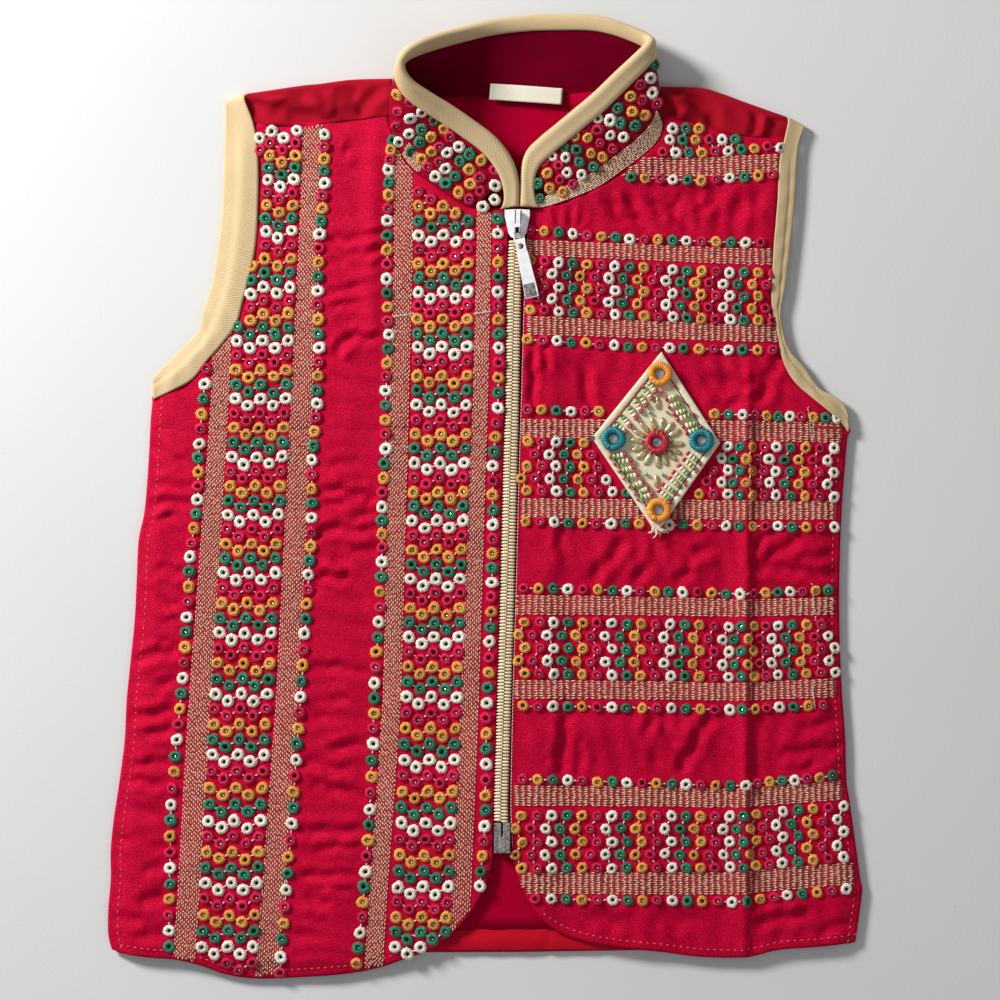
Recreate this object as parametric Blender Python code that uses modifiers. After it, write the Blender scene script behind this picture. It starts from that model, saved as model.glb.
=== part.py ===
"""A child's embroidered zip waistcoat, laid flat on its back with the collar open.

+X is the photograph's right, +Y runs up to the collar and +Z up from the floor.
Sizes are millimetres until scaled(). Sides in names are the wearer's own, so the
wearer's right front is at -X.
"""

import math

import bmesh
import bpy
import numpy as np
from mathutils import Vector

MM = 0.001
GAP = 0.3

# Walls of the cloth pieces.
SHELL_T = 1.2
LINING_T = 1.0
COLLAR_T = 1.5
TAPE_T = 1.0

# Heights of the layers above the floor.
LINING_Z = SHELL_T + GAP + LINING_T
TAPE_Z = LINING_Z + GAP + TAPE_T
FRONT_Z = 4.4
SEAM_Z = 2.8
SEAM_ROLL = 9.0
BACK_HEM_Y = -182.6
HEM_DROOP = 1.3
ZIP_RISE = 1.2
NECK_RISE = 1.7

# Outline of the body, x and y. The wearer's right side, from the hem up to the shoulder tip.
SIDE_R = [
    (-149.6, -181.0), (-151.0, -175.0), (-151.0, -165.0), (-150.0, -153.0), (-150.0, -141.0),
    (-148.8, -129.0), (-146.4, -113.0), (-144.4, -97.0), (-143.6, -81.0), (-142.0, -65.0),
    (-140.4, -49.0), (-139.6, -33.0), (-138.8, -17.0), (-136.4, -5.0), (-134.8, 15.0),
    (-134.0, 31.0), (-133.2, 39.0),
]
ARM_OUT_R = [
    (-133.2, 47.8), (-126.0, 55.0), (-120.0, 61.0), (-114.8, 67.0), (-112.8, 75.0), (-109.2, 87.0),
    (-106.8, 103.0), (-105.2, 119.0), (-104.4, 139.0), (-104.0, 151.0), (-104.0, 159.0),
]
ARM_IN_R = [
    (-132.8, 39.0), (-118.0, 46.2), (-111.2, 54.2), (-105.2, 61.0), (-99.2, 69.0), (-96.4, 79.0),
    (-93.2, 91.0), (-91.2, 103.0), (-90.4, 119.0), (-90.4, 135.0), (-92.0, 149.8), (-96.0, 161.8),
]
SIDE_L = [
    (148.4, -178.2), (150.0, -167.0), (151.2, -157.0), (150.4, -153.0), (148.8, -141.0),
    (146.0, -121.0), (144.8, -113.0), (144.4, -97.0), (143.2, -81.0), (142.4, -65.0),
    (142.0, -49.0), (142.0, -33.0), (142.4, -17.0), (143.2, -1.0), (144.4, 15.0), (145.4, 25.8),
]
ARM_OUT_L = [
    (145.6, 33.0), (144.0, 37.0), (140.0, 40.6), (134.0, 43.8), (127.2, 53.0), (122.0, 59.0),
    (119.2, 67.0), (118.4, 75.0), (120.0, 83.0), (122.0, 99.0), (124.0, 119.0), (124.8, 135.0),
    (125.6, 143.0), (127.6, 149.4),
]
ARM_IN_L = [
    (145.4, 25.8), (141.2, 31.0), (130.0, 40.2), (122.8, 47.0), (118.8, 55.0), (117.2, 63.0),
    (115.6, 71.0), (114.4, 79.0), (115.2, 99.0), (116.8, 119.0), (117.6, 135.0), (119.2, 143.0),
    (121.2, 152.6),
]
HEM_R = [
    (-149.6, -181.0), (-145.2, -182.6), (-134.0, -184.2), (-124.0, -185.0), (-114.0, -187.4),
    (-104.0, -191.0), (-92.0, -192.7), (-74.0, -192.2), (-54.0, -190.6), (-42.0, -188.2),
    (-34.0, -185.4), (-22.0, -181.0), (-16.0, -177.0), (-8.0, -169.0), (-2.8, -161.0),
    (0.8, -153.0), (2.6, -145.8),
]
HEM_L = [
    (10.8, -139.0), (11.2, -143.0), (12.4, -149.0), (14.4, -155.0), (18.0, -162.2), (24.0, -169.8),
    (32.0, -175.0), (42.0, -178.2), (54.0, -180.2), (70.0, -181.8), (86.0, -183.8), (102.0, -184.2),
    (108.0, -183.4), (118.0, -181.0), (134.0, -179.8), (148.4, -178.2),
]
# The zip's centre line and the two front edges beside it, top to bottom.
ZIP = [
    (12.6, 114.2), (12.2, 103.0), (11.7, 79.0), (11.0, 39.0), (10.0, -1.0), (9.0, -41.0),
    (7.8, -81.0), (6.6, -121.0), (6.6, -141.2),
]
CF_R = [
    (9.2, 113.4), (9.0, 103.0), (8.5, 79.0), (7.8, 39.0), (6.8, -1.0), (5.8, -41.0), (4.6, -81.0),
    (3.4, -121.0), (2.9, -141.0), (2.6, -145.8),
]
CF_L = [
    (17.6, 113.6), (16.8, 103.0), (15.6, 79.0), (14.4, 39.0), (13.2, -1.0), (12.2, -41.0),
    (11.0, -81.0), (10.2, -121.0), (10.8, -139.0),
]
# The shoulders: the fold at the top, and the seam where the yoke meets the front.
FOLD_R = [(-95.6, 161.8), (-74.0, 165.0), (-66.0, 165.8), (-54.0, 167.4), (-39.4, 167.8)]
SEAM_R = [(-90.8, 148.8), (-74.0, 148.8), (-58.0, 150.4), (-46.0, 151.6), (-39.6, 152.8)]
FOLD_L = [(72.4, 164.6), (86.0, 164.2), (94.0, 162.2), (106.0, 157.8), (120.8, 152.6)]
SEAM_L = [(72.4, 151.4), (80.0, 151.0), (86.0, 149.0), (98.0, 145.4), (110.0, 144.2), (118.8, 143.8)]
# The back's top edge below the collar, from shoulder to shoulder.
JOIN_R = [(-91.0, 148.0), (-74.0, 152.0), (-58.0, 156.0), (-39.4, 160.6)]
JOIN_NECK = [
    (-39.4, 160.6), (-33.7, 161.2), (-26.1, 160.0), (-16.1, 159.1), (-2.0, 158.7), (14.0, 159.1),
    (30.1, 159.9), (44.1, 161.5), (53.3, 162.6), (61.3, 162.2), (66.9, 160.2), (72.4, 157.6),
]
JOIN_L = [(72.4, 157.6), (90.0, 153.0), (104.0, 148.0), (118.6, 141.6)]

# The stand collar, all round from the zip: seam x, y, z and free edge x, y, z.
# A seam height of None follows the front.
COLLAR = [
    (8.6, 115.8, None, 12.9, 116.2, 7.2),
    (2.0, 114.9, None, 13.0, 125.7, 8.4),
    (-6.0, 116.1, None, 10.4, 134.3, 10.0),
    (-14.8, 120.7, None, 4.4, 142.3, 12.0),
    (-22.7, 126.3, None, -4.3, 148.8, 14.0),
    (-29.9, 132.2, None, -13.0, 154.3, 17.0),
    (-34.7, 139.4, None, -21.6, 158.9, 21.0),
    (-37.5, 146.6, None, -27.8, 162.4, 24.0),
    (-38.5, 153.8, 6.2, -31.6, 166.0, 26.0),
    (-38.5, 160.0, 5.2, -33.2, 169.8, 27.0),
    (-37.2, 163.8, 3.8, -32.4, 173.3, 27.0),
    (-33.7, 162.9, 2.2, -28.9, 177.1, 25.0),
    (-26.1, 161.0, 1.0, -21.6, 181.5, 20.0),
    (-16.1, 159.9, 0.6, -9.9, 186.3, 13.0),
    (-2.0, 159.5, 0.5, 3.2, 190.1, 8.0),
    (14.0, 159.9, 0.5, 16.8, 192.0, 6.0),
    (30.1, 160.7, 0.5, 30.0, 192.4, 6.0),
    (44.1, 162.3, 0.5, 41.9, 192.1, 7.0),
    (53.3, 163.5, 0.8, 50.6, 190.3, 8.0),
    (61.3, 164.2, 1.6, 58.6, 187.3, 9.0),
    (66.9, 163.1, 3.0, 63.7, 184.7, 10.5),
    (70.0, 159.7, 4.8, 66.1, 182.2, 13.5),
    (70.9, 154.7, 6.0, 64.9, 180.2, 16.0),
    (71.0, 149.0, None, 59.8, 175.2, 16.5),
    (69.0, 142.2, None, 51.9, 168.0, 15.5),
    (63.0, 136.2, None, 43.3, 159.9, 14.0),
    (54.7, 130.1, None, 35.8, 153.8, 12.5),
    (46.3, 124.3, None, 28.2, 147.6, 11.5),
    (38.3, 120.7, None, 21.9, 142.6, 10.0),
    (30.8, 118.0, None, 16.9, 137.4, 8.8),
    (25.2, 116.4, None, 14.9, 129.8, 8.0),
    (20.8, 115.8, None, 14.6, 116.2, 7.2),
]
# The collar binding's section: along the collar's height, and out from its outer face.
COLLAR_BIND = [(-7.0, 0.3), (-7.0, 1.5), (0.0, 1.5), (0.0, -1.5), (-1.5, -1.5), (-1.5, 0.3)]
COLLAR_SHORT = 2.0

# Largest folds of the fronts: start x, y, end x, y, half width, height.
FOLDS = [
    (-44.0, 152.0, -46.0, 58.0, 4.5, 1.3),
    (105.0, 58.0, 104.0, -184.0, 2.6, 0.9),
    (-58.0, -150.0, -64.0, -194.0, 9.0, 0.9),
    (-18.0, -120.0, -24.0, -184.0, 8.0, 0.8),
    (60.0, -146.0, 64.0, -184.0, 9.0, 0.7),
    (24.0, 99.0, 66.0, 93.0, 5.0, 0.7),
    (20.0, 52.0, 40.0, 60.0, 5.0, 0.6),
    (22.0, -22.0, 92.0, -27.0, 6.0, 0.8),
    (20.0, -92.0, 96.0, -96.0, 6.0, 0.8),
    (112.0, -18.0, 140.0, -30.0, 5.0, 0.7),
]

# The diamond patch: corners, then thread rings x, y and colour.
PATCH = [(68.0, 58.2), (94.0, 23.0), (70.0, -15.0), (43.2, 24.6)]
PATCH_RIM = 2.4
PATCH_T = 1.2
PATCH_RINGS = [
    ("top", 69.8, 49.3, "thread_orange"),
    ("bottom", 69.4, -5.0, "thread_orange"),
    ("left", 51.3, 23.4, "thread_teal"),
    ("right", 86.4, 22.7, "thread_teal"),
    ("centre", 68.7, 22.0, "thread_red"),
]
RING_R = 3.4
RING_WIRE = 1.3
MIRROR_R = 1.75
PETALS = 15

# Slider and pull tab. The tab turns about its cross bar.
SLIDER = (12.9, 109.2)
PLATE_Z = 6.3
PLATE_T = 1.0
BAR_Z = 8.2
BAR_Y = 106.3
TAB_T = 1.0
TAB_TURN = math.radians(-167.3)

COLOURS = {
    "silk_crimson": ((0.52, 0.004, 0.028), 0.55, 0.0),
    "twill_red": ((0.40, 0.012, 0.018), 0.75, 0.0),
    "lining_red": ((0.45, 0.003, 0.025), 0.7, 0.0),
    "twill_cream": ((0.80, 0.62, 0.36), 0.85, 0.0),
    "collar_cloth": ((0.42, 0.01, 0.03), 0.7, 0.0),
    "tape_red": ((0.3, 0.01, 0.02), 0.8, 0.0),
    "coil_cream": ((0.72, 0.58, 0.34), 0.5, 0.0),
    "zip_metal": ((0.82, 0.82, 0.82), 0.22, 1.0),
    "pewter": ((0.34, 0.33, 0.31), 0.35, 1.0),
    "patch_cream": ((0.72, 0.66, 0.46), 0.8, 0.0),
    "thread_orange": ((0.75, 0.25, 0.03), 0.6, 0.0),
    "thread_teal": ((0.0, 0.16, 0.2), 0.6, 0.0),
    "thread_red": ((0.4, 0.01, 0.03), 0.6, 0.0),
    "mirror": ((0.8, 0.8, 0.8), 0.08, 1.0),
    "petal_gold": ((0.55, 0.45, 0.2), 0.35, 1.0),
    "label_cream": ((0.8, 0.76, 0.66), 0.8, 0.0),
}


def smooth(t):
    t = np.clip(t, 0.0, 1.0)
    return t * t * (3.0 - 2.0 * t)


def distance(x, y, line):
    """The distance of each point from a line of x, y points."""
    x = np.asarray(x, float)
    best = np.full(x.shape, 1e9)
    for (ax, ay), (bx, by) in zip(line[:-1], line[1:]):
        run = (bx - ax, by - ay)
        t = ((x - ax) * run[0] + (y - ay) * run[1]) / (run[0] ** 2 + run[1] ** 2)
        t = np.clip(t, 0.0, 1.0)
        best = np.minimum(best, np.hypot(x - ax - t * run[0], y - ay - t * run[1]))
    return best


def across(y, line):
    """The x of a line of x, y points at each y."""
    points = sorted(line, key=lambda p: p[1])
    return np.interp(y, [p[1] for p in points], [p[0] for p in points])


def folds(x, y, table):
    """The rise of soft ridges that fade towards their ends."""
    total = np.zeros(np.shape(x))
    for ax, ay, bx, by, wide, high in table:
        run, length = (bx - ax, by - ay), math.hypot(bx - ax, by - ay)
        t = ((x - ax) * run[0] + (y - ay) * run[1]) / length**2
        off = np.abs((x - ax) * run[1] - (y - ay) * run[0]) / length
        fade = smooth((t + 0.05) / 0.2) * smooth((1.05 - t) / 0.2)
        total = total + high * np.exp(-((off / wide) ** 2)) * fade
    return total


def front_top(x, y):
    """The height of the fronts' outer face, which the yokes and the bindings share."""
    x, y = np.asarray(x, float), np.asarray(y, float)
    zip_off = np.abs(x - across(y, ZIP))
    rise = ZIP_RISE * smooth((26.0 - zip_off) / 12.0)
    neck = [(row[0], row[1]) for row in COLLAR[:10]], [(row[0], row[1]) for row in COLLAR[21:]]
    ring = np.minimum(distance(x, y, neck[0]), distance(x, y, neck[1]))
    lift = NECK_RISE * np.exp(-((ring / 9.0) ** 2)) * smooth((np.abs(x - 13.0) - 7.0) / 20.0)
    level = FRONT_Z + np.hypot(rise, lift) + folds(x, y, FOLDS)
    inset = np.minimum(x - across(y, SIDE_R + ARM_OUT_R), across(y, SIDE_L + ARM_OUT_L) - x)
    droop = HEM_DROOP * smooth((BACK_HEM_Y - 1.0 - y) / 8.0)
    return SEAM_Z + (level - SEAM_Z) * smooth(inset / SEAM_ROLL) - droop


def rounded(line, steps=6):
    """A Catmull-Rom curve through the points of a line."""
    p = np.array(line, float)
    p = np.vstack([2 * p[0] - p[1], p, 2 * p[-1] - p[-2]])
    out = []
    for i in range(1, len(p) - 2):
        a, b, c, d = p[i - 1 : i + 3]
        for t in np.linspace(0.0, 1.0, steps, endpoint=False):
            out.append(
                0.5 * (2 * b + (c - a) * t + (2 * a - 5 * b + 4 * c - d) * t**2
                       + (3 * b - a - 3 * c + d) * t**3)
            )
    out.append(p[-2])
    return np.array(out)


def spaced(line, count):
    """This many points at even steps along a line."""
    p = np.array(line, float)
    run = np.concatenate([[0.0], np.cumsum(np.linalg.norm(np.diff(p, axis=0), axis=1))])
    at = np.linspace(0.0, run[-1], count)
    return np.stack([np.interp(at, run, p[:, k]) for k in range(p.shape[1])], axis=1)


def joined(*runs):
    """Several (line, count) runs as one edge, with a point kept at each corner."""
    parts = [spaced(rounded(line), count + 1) for line, count in runs]
    return np.vstack([part[:-1] for part in parts[:-1]] + [parts[-1]])


def coons(low, high, left, right):
    """A grid of x, y points that fills four edges, row by row from the low edge."""
    u = np.linspace(0.0, 1.0, len(low))[None, :, None]
    v = np.linspace(0.0, 1.0, len(left))[:, None, None]
    ruled = (1 - v) * low[None] + v * high[None] + (1 - u) * left[:, None] + u * right[:, None]
    corners = (1 - v) * ((1 - u) * low[0] + u * low[-1]) + v * ((1 - u) * high[0] + u * high[-1])
    return ruled - corners


def inset_line(line, by):
    """A line moved sideways, to the left of its direction where by is positive."""
    p = np.array(line, float)[:, :2]
    run = np.gradient(p, axis=0)
    run /= np.linalg.norm(run, axis=1)[:, None]
    return p + by * np.stack([-run[:, 1], run[:, 0]], axis=1)


def material(name):
    made = bpy.data.materials.get(name)
    if made:
        return made
    colour, rough, metal = COLOURS[name]
    made = bpy.data.materials.new(name)
    made.use_nodes = True
    shader = made.node_tree.nodes["Principled BSDF"]
    shader.inputs["Base Color"].default_value = (*colour, 1.0)
    shader.inputs["Roughness"].default_value = rough
    shader.inputs["Metallic"].default_value = metal
    made.diffuse_color = (*colour, 1.0)
    return made


def add(name, data, colour, home):
    obj = bpy.data.objects.new(name, data)
    data.materials.append(material(colour))
    home.objects.link(obj)
    return obj


def grids_mesh(name, grids):
    """One mesh from grids of x, y, z points, joined where their edge points agree."""
    work = bmesh.new()
    for grid in grids:
        rows = [[work.verts.new([float(c) * MM for c in point]) for point in row] for row in grid]
        for low, high in zip(rows[:-1], rows[1:]):
            for i in range(len(low) - 1):
                work.faces.new((low[i], low[i + 1], high[i + 1], high[i]))
    bmesh.ops.remove_doubles(work, verts=work.verts, dist=1e-5)
    mesh = bpy.data.meshes.new(name)
    work.to_mesh(mesh)
    work.free()
    return mesh


def cloth(name, grids, thick, colour, home):
    """A cloth wall that grows away from its outer face, which the grids describe."""
    obj = add(name, grids_mesh(name, grids), colour, home)
    wall = obj.modifiers.new("wall", "SOLIDIFY")
    wall.thickness = thick * MM
    wall.offset = -1.0
    wall.use_rim = True
    return obj


def with_height(points, height):
    return np.dstack([points, height])


def loft(name, sections, colour, home):
    """A closed body through closed sections of x, y, z points."""
    work = bmesh.new()
    rings = [[work.verts.new([float(c) * MM for c in point]) for point in ring] for ring in sections]
    for low, high in zip(rings[:-1], rings[1:]):
        for i in range(len(low)):
            k = (i + 1) % len(low)
            work.faces.new((low[i], low[k], high[k], high[i]))
    work.faces.new(rings[0][::-1])
    work.faces.new(rings[-1])
    bmesh.ops.recalc_face_normals(work, faces=work.faces)
    mesh = bpy.data.meshes.new(name)
    work.to_mesh(mesh)
    work.free()
    return add(name, mesh, colour, home)


def outline(name, loops, low, high, colour, home, bevel=0.0):
    """A flat shape with holes, from z low to z high, as a mesh."""
    flat = bpy.data.curves.new(name, "CURVE")
    flat.dimensions = "2D"
    flat.fill_mode = "BOTH"
    flat.extrude = (high - low) / 2 * MM
    for loop in loops:
        spline = flat.splines.new("POLY")
        spline.points.add(len(loop) - 1)
        for point, (x, y) in zip(spline.points, loop):
            point.co = (x * MM, y * MM, 0.0, 1.0)
        spline.use_cyclic_u = True
    pattern = bpy.data.objects.new("pattern", flat)
    mesh = bpy.data.meshes.new_from_object(pattern)
    bpy.data.objects.remove(pattern)
    work = bmesh.new()
    work.from_mesh(mesh)
    bmesh.ops.remove_doubles(work, verts=work.verts, dist=1e-6)
    bmesh.ops.translate(work, verts=work.verts, vec=Vector((0.0, 0.0, (low + high) / 2 * MM)))
    bmesh.ops.recalc_face_normals(work, faces=work.faces)
    work.to_mesh(mesh)
    work.free()
    mesh.name = name
    obj = add(name, mesh, colour, home)
    if bevel:
        edge = obj.modifiers.new("edge", "BEVEL")
        edge.width = bevel * MM
        edge.segments = 2
        edge.limit_method = "ANGLE"
        edge.angle_limit = math.radians(50)
    return obj


def turned(x, y, angle):
    """A point turned about the origin, anticlockwise from above."""
    return np.array([x * math.cos(angle) - y * math.sin(angle), x * math.sin(angle) + y * math.cos(angle)])


def circle(x, y, radius, count):
    turn = [2 * math.pi * i / count for i in range(count)]
    return [(x + radius * math.cos(a), y + radius * math.sin(a)) for a in turn]


def fronts(home):
    """The two fronts, each filled between its four edges."""
    neck_r = inset_line([row[:2] for row in COLLAR[:9]], 0.8)[:8]
    neck_r = np.vstack([[9.2, 113.4], neck_r[1:], [-39.6, 152.2]])
    right = joined((CF_R[::-1], 22), (neck_r, 10))
    left = joined((SIDE_R, 18), (inset_line(ARM_IN_R[:-2] + [(-91.2, 147.6)], -0.5), 14))
    low = joined((HEM_R, 20))
    high = joined((np.array(SEAM_R) - (0.0, 0.6), 20))
    left[-1], right[-1], left[0], right[0] = high[0], high[-1], low[0], low[-1]
    grid = coons(low, high, left, right)
    z = front_top(grid[..., 0], grid[..., 1])
    cloth("front_wearer_right", [with_height(grid, z)], SHELL_T, "silk_crimson", home)

    neck_l = inset_line([row[:2] for row in COLLAR[22:]][::-1], -0.8)
    neck_l = np.vstack([[17.6, 113.6], neck_l[1:-1], [72.4, 150.8]])
    left = joined((CF_L[::-1], 22), (neck_l, 10))
    right = joined((SIDE_L, 18), (inset_line(ARM_IN_L[:-2] + [(119.0, 142.4)], 0.5), 14))
    low = joined((HEM_L, 20))
    high = joined((np.array(SEAM_L) - (0.0, 0.6), 20))
    left[-1], right[-1], left[0], right[0] = high[0], high[-1], low[0], low[-1]
    grid = coons(low, high, left, right)
    z = front_top(grid[..., 0], grid[..., 1])
    cloth("front_wearer_left", [with_height(grid, z)], SHELL_T, "silk_crimson", home)


def shoulder(join, fold, seam):
    """The back's cloth going up one shoulder, over the fold and down the front to the yoke seam."""
    count = len(join)
    fold, seam = spaced(rounded(fold), count), spaced(rounded(seam), count)
    radius = front_top(fold[:, 0], fold[:, 1] - 2.5) / 2
    crest = fold[:, 1] - radius
    rows = []
    for t in (0.0, 0.5):
        x = join[:, 0] + (fold[:, 0] - join[:, 0]) * t
        rows.append(np.stack([x, join[:, 1] + (crest - join[:, 1]) * t, np.zeros(count)], axis=1))
    for turn in np.linspace(-90.0, 90.0, 7):
        a = math.radians(turn)
        y, z = crest + radius * math.cos(a), radius * (1 + math.sin(a))
        rows.append(np.stack([fold[:, 0], y, z], axis=1))
    for t in (0.33, 0.66, 1.0):
        x, y = fold[:, 0] + (seam[:, 0] - fold[:, 0]) * t, crest + (seam[:, 1] - crest) * t
        settle = smooth(t * 1.5)
        z = front_top(x, y) * settle + 2 * radius * (1 - settle)
        rows.append(np.stack([x, y, z], axis=1))
    return np.array(rows)


def back(home):
    """The back, cut in one with both yokes. Its outer face lies on the floor."""
    join_r, join_neck, join_l = joined((JOIN_R, 5)), joined((JOIN_NECK, 12)), joined((JOIN_L, 5))
    high = np.vstack([join_r[:-1], join_neck[:-1], join_l])
    low = spaced([(-148.0, -182.2), (-60.0, -182.6), (14.0, -182.4), (80.0, -181.4), (147.0, -179.0)], 23)
    left = joined((inset_line(SIDE_R, -1.0), 14), (inset_line(ARM_IN_R[:-1], -0.6), 9))
    right = joined((inset_line(SIDE_L, 1.0), 14), (inset_line(ARM_IN_L[:-1], 0.6), 9))
    left[0], right[0], left[-1], right[-1] = low[0], low[-1], high[0], high[-1]
    main = coons(low, high, left, right)
    flat = with_height(main, np.zeros(main.shape[:2]))
    grids = [flat, shoulder(join_r, FOLD_R, SEAM_R), shoulder(join_l, FOLD_L, SEAM_L)]
    # Columns run the other way, so that the outer face looks down.
    cloth("back_panel", [grid[:, ::-1] for grid in grids], SHELL_T, "twill_red", home)


def lining(home):
    left = joined(([(-139.0, -172.9), (-137.0, -110.0), (-131.0, -40.0), (-123.0, 34.0)], 8),
                  ([(-123.0, 34.0), (-108.0, 46.0), (-94.0, 64.0), (-84.0, 86.0), (-81.5, 142.0)], 6))
    right = joined(([(138.0, -172.9), (133.0, -110.0), (131.0, -40.0), (133.0, 22.0)], 8),
                   ([(133.0, 22.0), (118.0, 38.0), (108.0, 56.0), (105.0, 80.0), (108.0, 138.0)], 6))
    high = joined(([(-81.5, 142.0), (-60.0, 152.0), (-42.0, 157.5)], 4),
                  ([(-42.0, 157.5), (-33.7, 160.0), (-26.1, 159.6), (-16.1, 158.8), (-2.0, 158.4),
                    (14.0, 158.8), (30.1, 159.6), (44.1, 161.0), (53.3, 161.8), (61.3, 160.6),
                    (75.0, 154.0)], 12),
                  ([(75.0, 154.0), (92.0, 147.0), (108.0, 138.0)], 4))
    low = spaced([(-139.0, -172.9), (138.0, -172.9)], len(high))
    grid = coons(low, high, left, right)
    z = np.full(grid.shape[:2], LINING_Z)
    cloth("back_lining", [with_height(grid, z)], LINING_T, "lining_red", home)

    turn = np.array([[(x, y, SHELL_T + GAP + SHELL_T) for x in np.linspace(-141.0, 140.0, 25)]
                     for y in (-181.4, -173.3)])
    turn[0, :, 1] = np.interp(turn[0, :, 0], [-141.0, 14.0, 80.0, 140.0], [-181.4, -181.8, -180.8, -178.8])
    cloth("back_hem_turnup", [turn], SHELL_T, "twill_red", home)


def armhole(name, outer, inner, side, home):
    """A binding strip from the front's underarm over the shoulder to the back's underarm."""
    rows, wide = 22, 4
    out = spaced(rounded(outer), rows)
    inn = spaced(rounded(inset_line(inner, -0.3 * side)), rows)
    front = out[:, None] + (inn - out)[:, None] * np.linspace(0.0, 1.0, wide)[None, :, None]
    top = front_top(front[..., 0], front[..., 1]) + 0.4
    radius = top[-1] / 2
    crest = front[-1, :, 1] - radius
    front[-1, :, 1] = crest
    sheet = [with_height(front, top)]
    bend = []
    for turn in np.linspace(90.0, -90.0, 7)[1:-1]:
        a = math.radians(turn)
        y, z = crest + radius * math.cos(a), radius * (1 + math.sin(a))
        bend.append(np.stack([front[-1, :, 0], y, z], axis=1))
    under = inset_line(outer, 1.0 * side)
    out = spaced(rounded(under), rows)
    behind = out[:, None] + (inn - out)[:, None] * np.linspace(0.0, 1.0, wide)[None, :, None]
    behind[-1, :, :] = front[-1]
    low = with_height(behind, np.zeros(behind.shape[:2]))[::-1]
    grid = np.vstack([sheet[0], np.array(bend), low])
    cloth(name, [grid if side < 0 else grid[:, ::-1]], SHELL_T, "twill_cream", home)


def collar_rows():
    """Seam and free edge of the collar, smoothed, as rows of x, y, z."""
    seam = np.array([[a, b, float(front_top(a, b)) if c is None else c] for a, b, c, *_ in COLLAR])
    edge = np.array([row[3:] for row in COLLAR])
    steps = rounded(np.hstack([seam, edge]), 2)
    return steps[:, :3], steps[:, 3:]


def collar(home):
    seam, edge = collar_rows()
    tall = edge - seam
    tall /= np.linalg.norm(tall, axis=1)[:, None]
    short = edge - tall * COLLAR_SHORT
    parts = np.linspace(0.0, 1.0, 4)
    grid = (seam[None] + (short - seam)[None] * parts[:, None, None])[:, 2:-2]
    cloth("collar", [grid[:, ::-1]], COLLAR_T, "collar_cloth", home)

    run = np.gradient(edge, axis=0)
    out = np.cross(tall, run)
    out /= np.linalg.norm(out, axis=1)[:, None]
    ring = [[edge[i] + tall[i] * h + out[i] * n for h, n in COLLAR_BIND] for i in range(len(edge))]
    loft("collar_binding", ring, "twill_cream", home)


def label(home):
    """The woven label, held at the back neck and standing a little off the cloth."""
    wide, tall, turn = 29.0, 6.6, math.radians(-4.0)
    rows = []
    for v in np.linspace(-0.5, 0.5, 3):
        row = []
        for u in np.linspace(-0.5, 0.5, 9):
            x, y = turned(u * wide, v * tall, turn)
            row.append((16.4 + x, 161.4 + y, 5.4 - 1.0 * v + 0.5 * math.cos(math.pi * u)))
        rows.append(row)
    cloth("neck_label", [np.array(rows)], 1.0, "label_cream", home)


def zip_parts(home):
    """Tapes, chain and bottom box along the zip's centre line."""
    y = np.linspace(112.0, -141.0, 22)
    x = across(y, ZIP)
    for name, near, far in (("zip_tape_right", -12.0, -0.2), ("zip_tape_left", 0.2, 12.0)):
        grid = np.array([[(a + off, b, TAPE_Z) for off in (near, far)] for a, b in zip(x, y)])
        cloth(name, [grid[:, ::-1]], TAPE_T, "tape_red", home)

    chain = [(-2.8, 0.0), (2.8, 0.0), (2.8, 1.4), (1.9, 2.1), (0.25, 2.1), (0.0, 1.7), (-0.25, 2.1),
             (-1.9, 2.1), (-2.8, 1.4)]
    y = np.linspace(102.4, -129.6, 24)
    rings = [[(a + dx, b, TAPE_Z + GAP + dz) for dx, dz in chain] for a, b in zip(across(y, ZIP), y)]
    loft("zip_chain", rings, "coil_cream", home)

    cx, low, top = 6.8, -142.0, -130.0
    shape = [(cx - 3.2, low), (cx + 3.2, low), (cx + 3.2, top), (cx + 0.35, top), (cx + 0.35, -135.6),
             (cx - 0.35, -135.6), (cx - 0.35, top), (cx - 3.2, top)]
    outline("zip_bottom_box", [shape], TAPE_Z + GAP, 6.9, "pewter", home, 0.3)


def slider(home):
    """The slider's neck, plate and bridge as one body."""
    cx, cy = SLIDER
    plate = [(-5.0, 5.6), (-5.0, 3.0), (-4.0, -1.5), (-3.6, -3.6), (-2.6, -5.2), (-1.2, -5.8), (1.2, -5.8),
             (2.6, -5.2), (3.6, -3.6), (4.0, -1.5), (5.0, 3.0), (5.0, 5.6), (1.6, 5.8), (-1.6, 5.8)]
    plate = [(cx + x, cy + y) for x, y in plate]
    body = outline("zip_slider", [plate], PLATE_Z, PLATE_Z + PLATE_T, "zip_metal", home, 0.25)
    helpers = bpy.data.collections.get("helpers")
    stem = [(cx + x, cy + y) for x, y in ((-2.5, -4.8), (2.5, -4.8), (2.5, 4.6), (-2.5, 4.6))]
    neck = outline("slider_neck", [stem], TAPE_Z + GAP, PLATE_Z + 0.5, "zip_metal", helpers)
    half, foot, arch = 1.2, PLATE_Z + PLATE_T - 0.5, 10.3
    side = [(5.0, foot), (5.0, arch - 1.0), (4.2, arch), (-3.9, arch), (-4.7, arch - 0.8),
            (-4.7, foot), (-3.9, foot), (-3.9, 9.05), (3.6, 9.05), (3.6, foot)]
    ring = [[(cx + dx * (0.68 if y < -3.8 else 1.0), cy + y, z) for y, z in side] for dx in (-half, half)]
    bridge = loft("slider_bridge", ring, "zip_metal", helpers)
    for tool in (neck, bridge):
        tool.hide_render = True
        tool.display_type = "WIRE"
        cut = body.modifiers.new(tool.name, "BOOLEAN")
        cut.operation = "UNION"
        cut.solver = "EXACT"
        cut.object = tool


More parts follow.
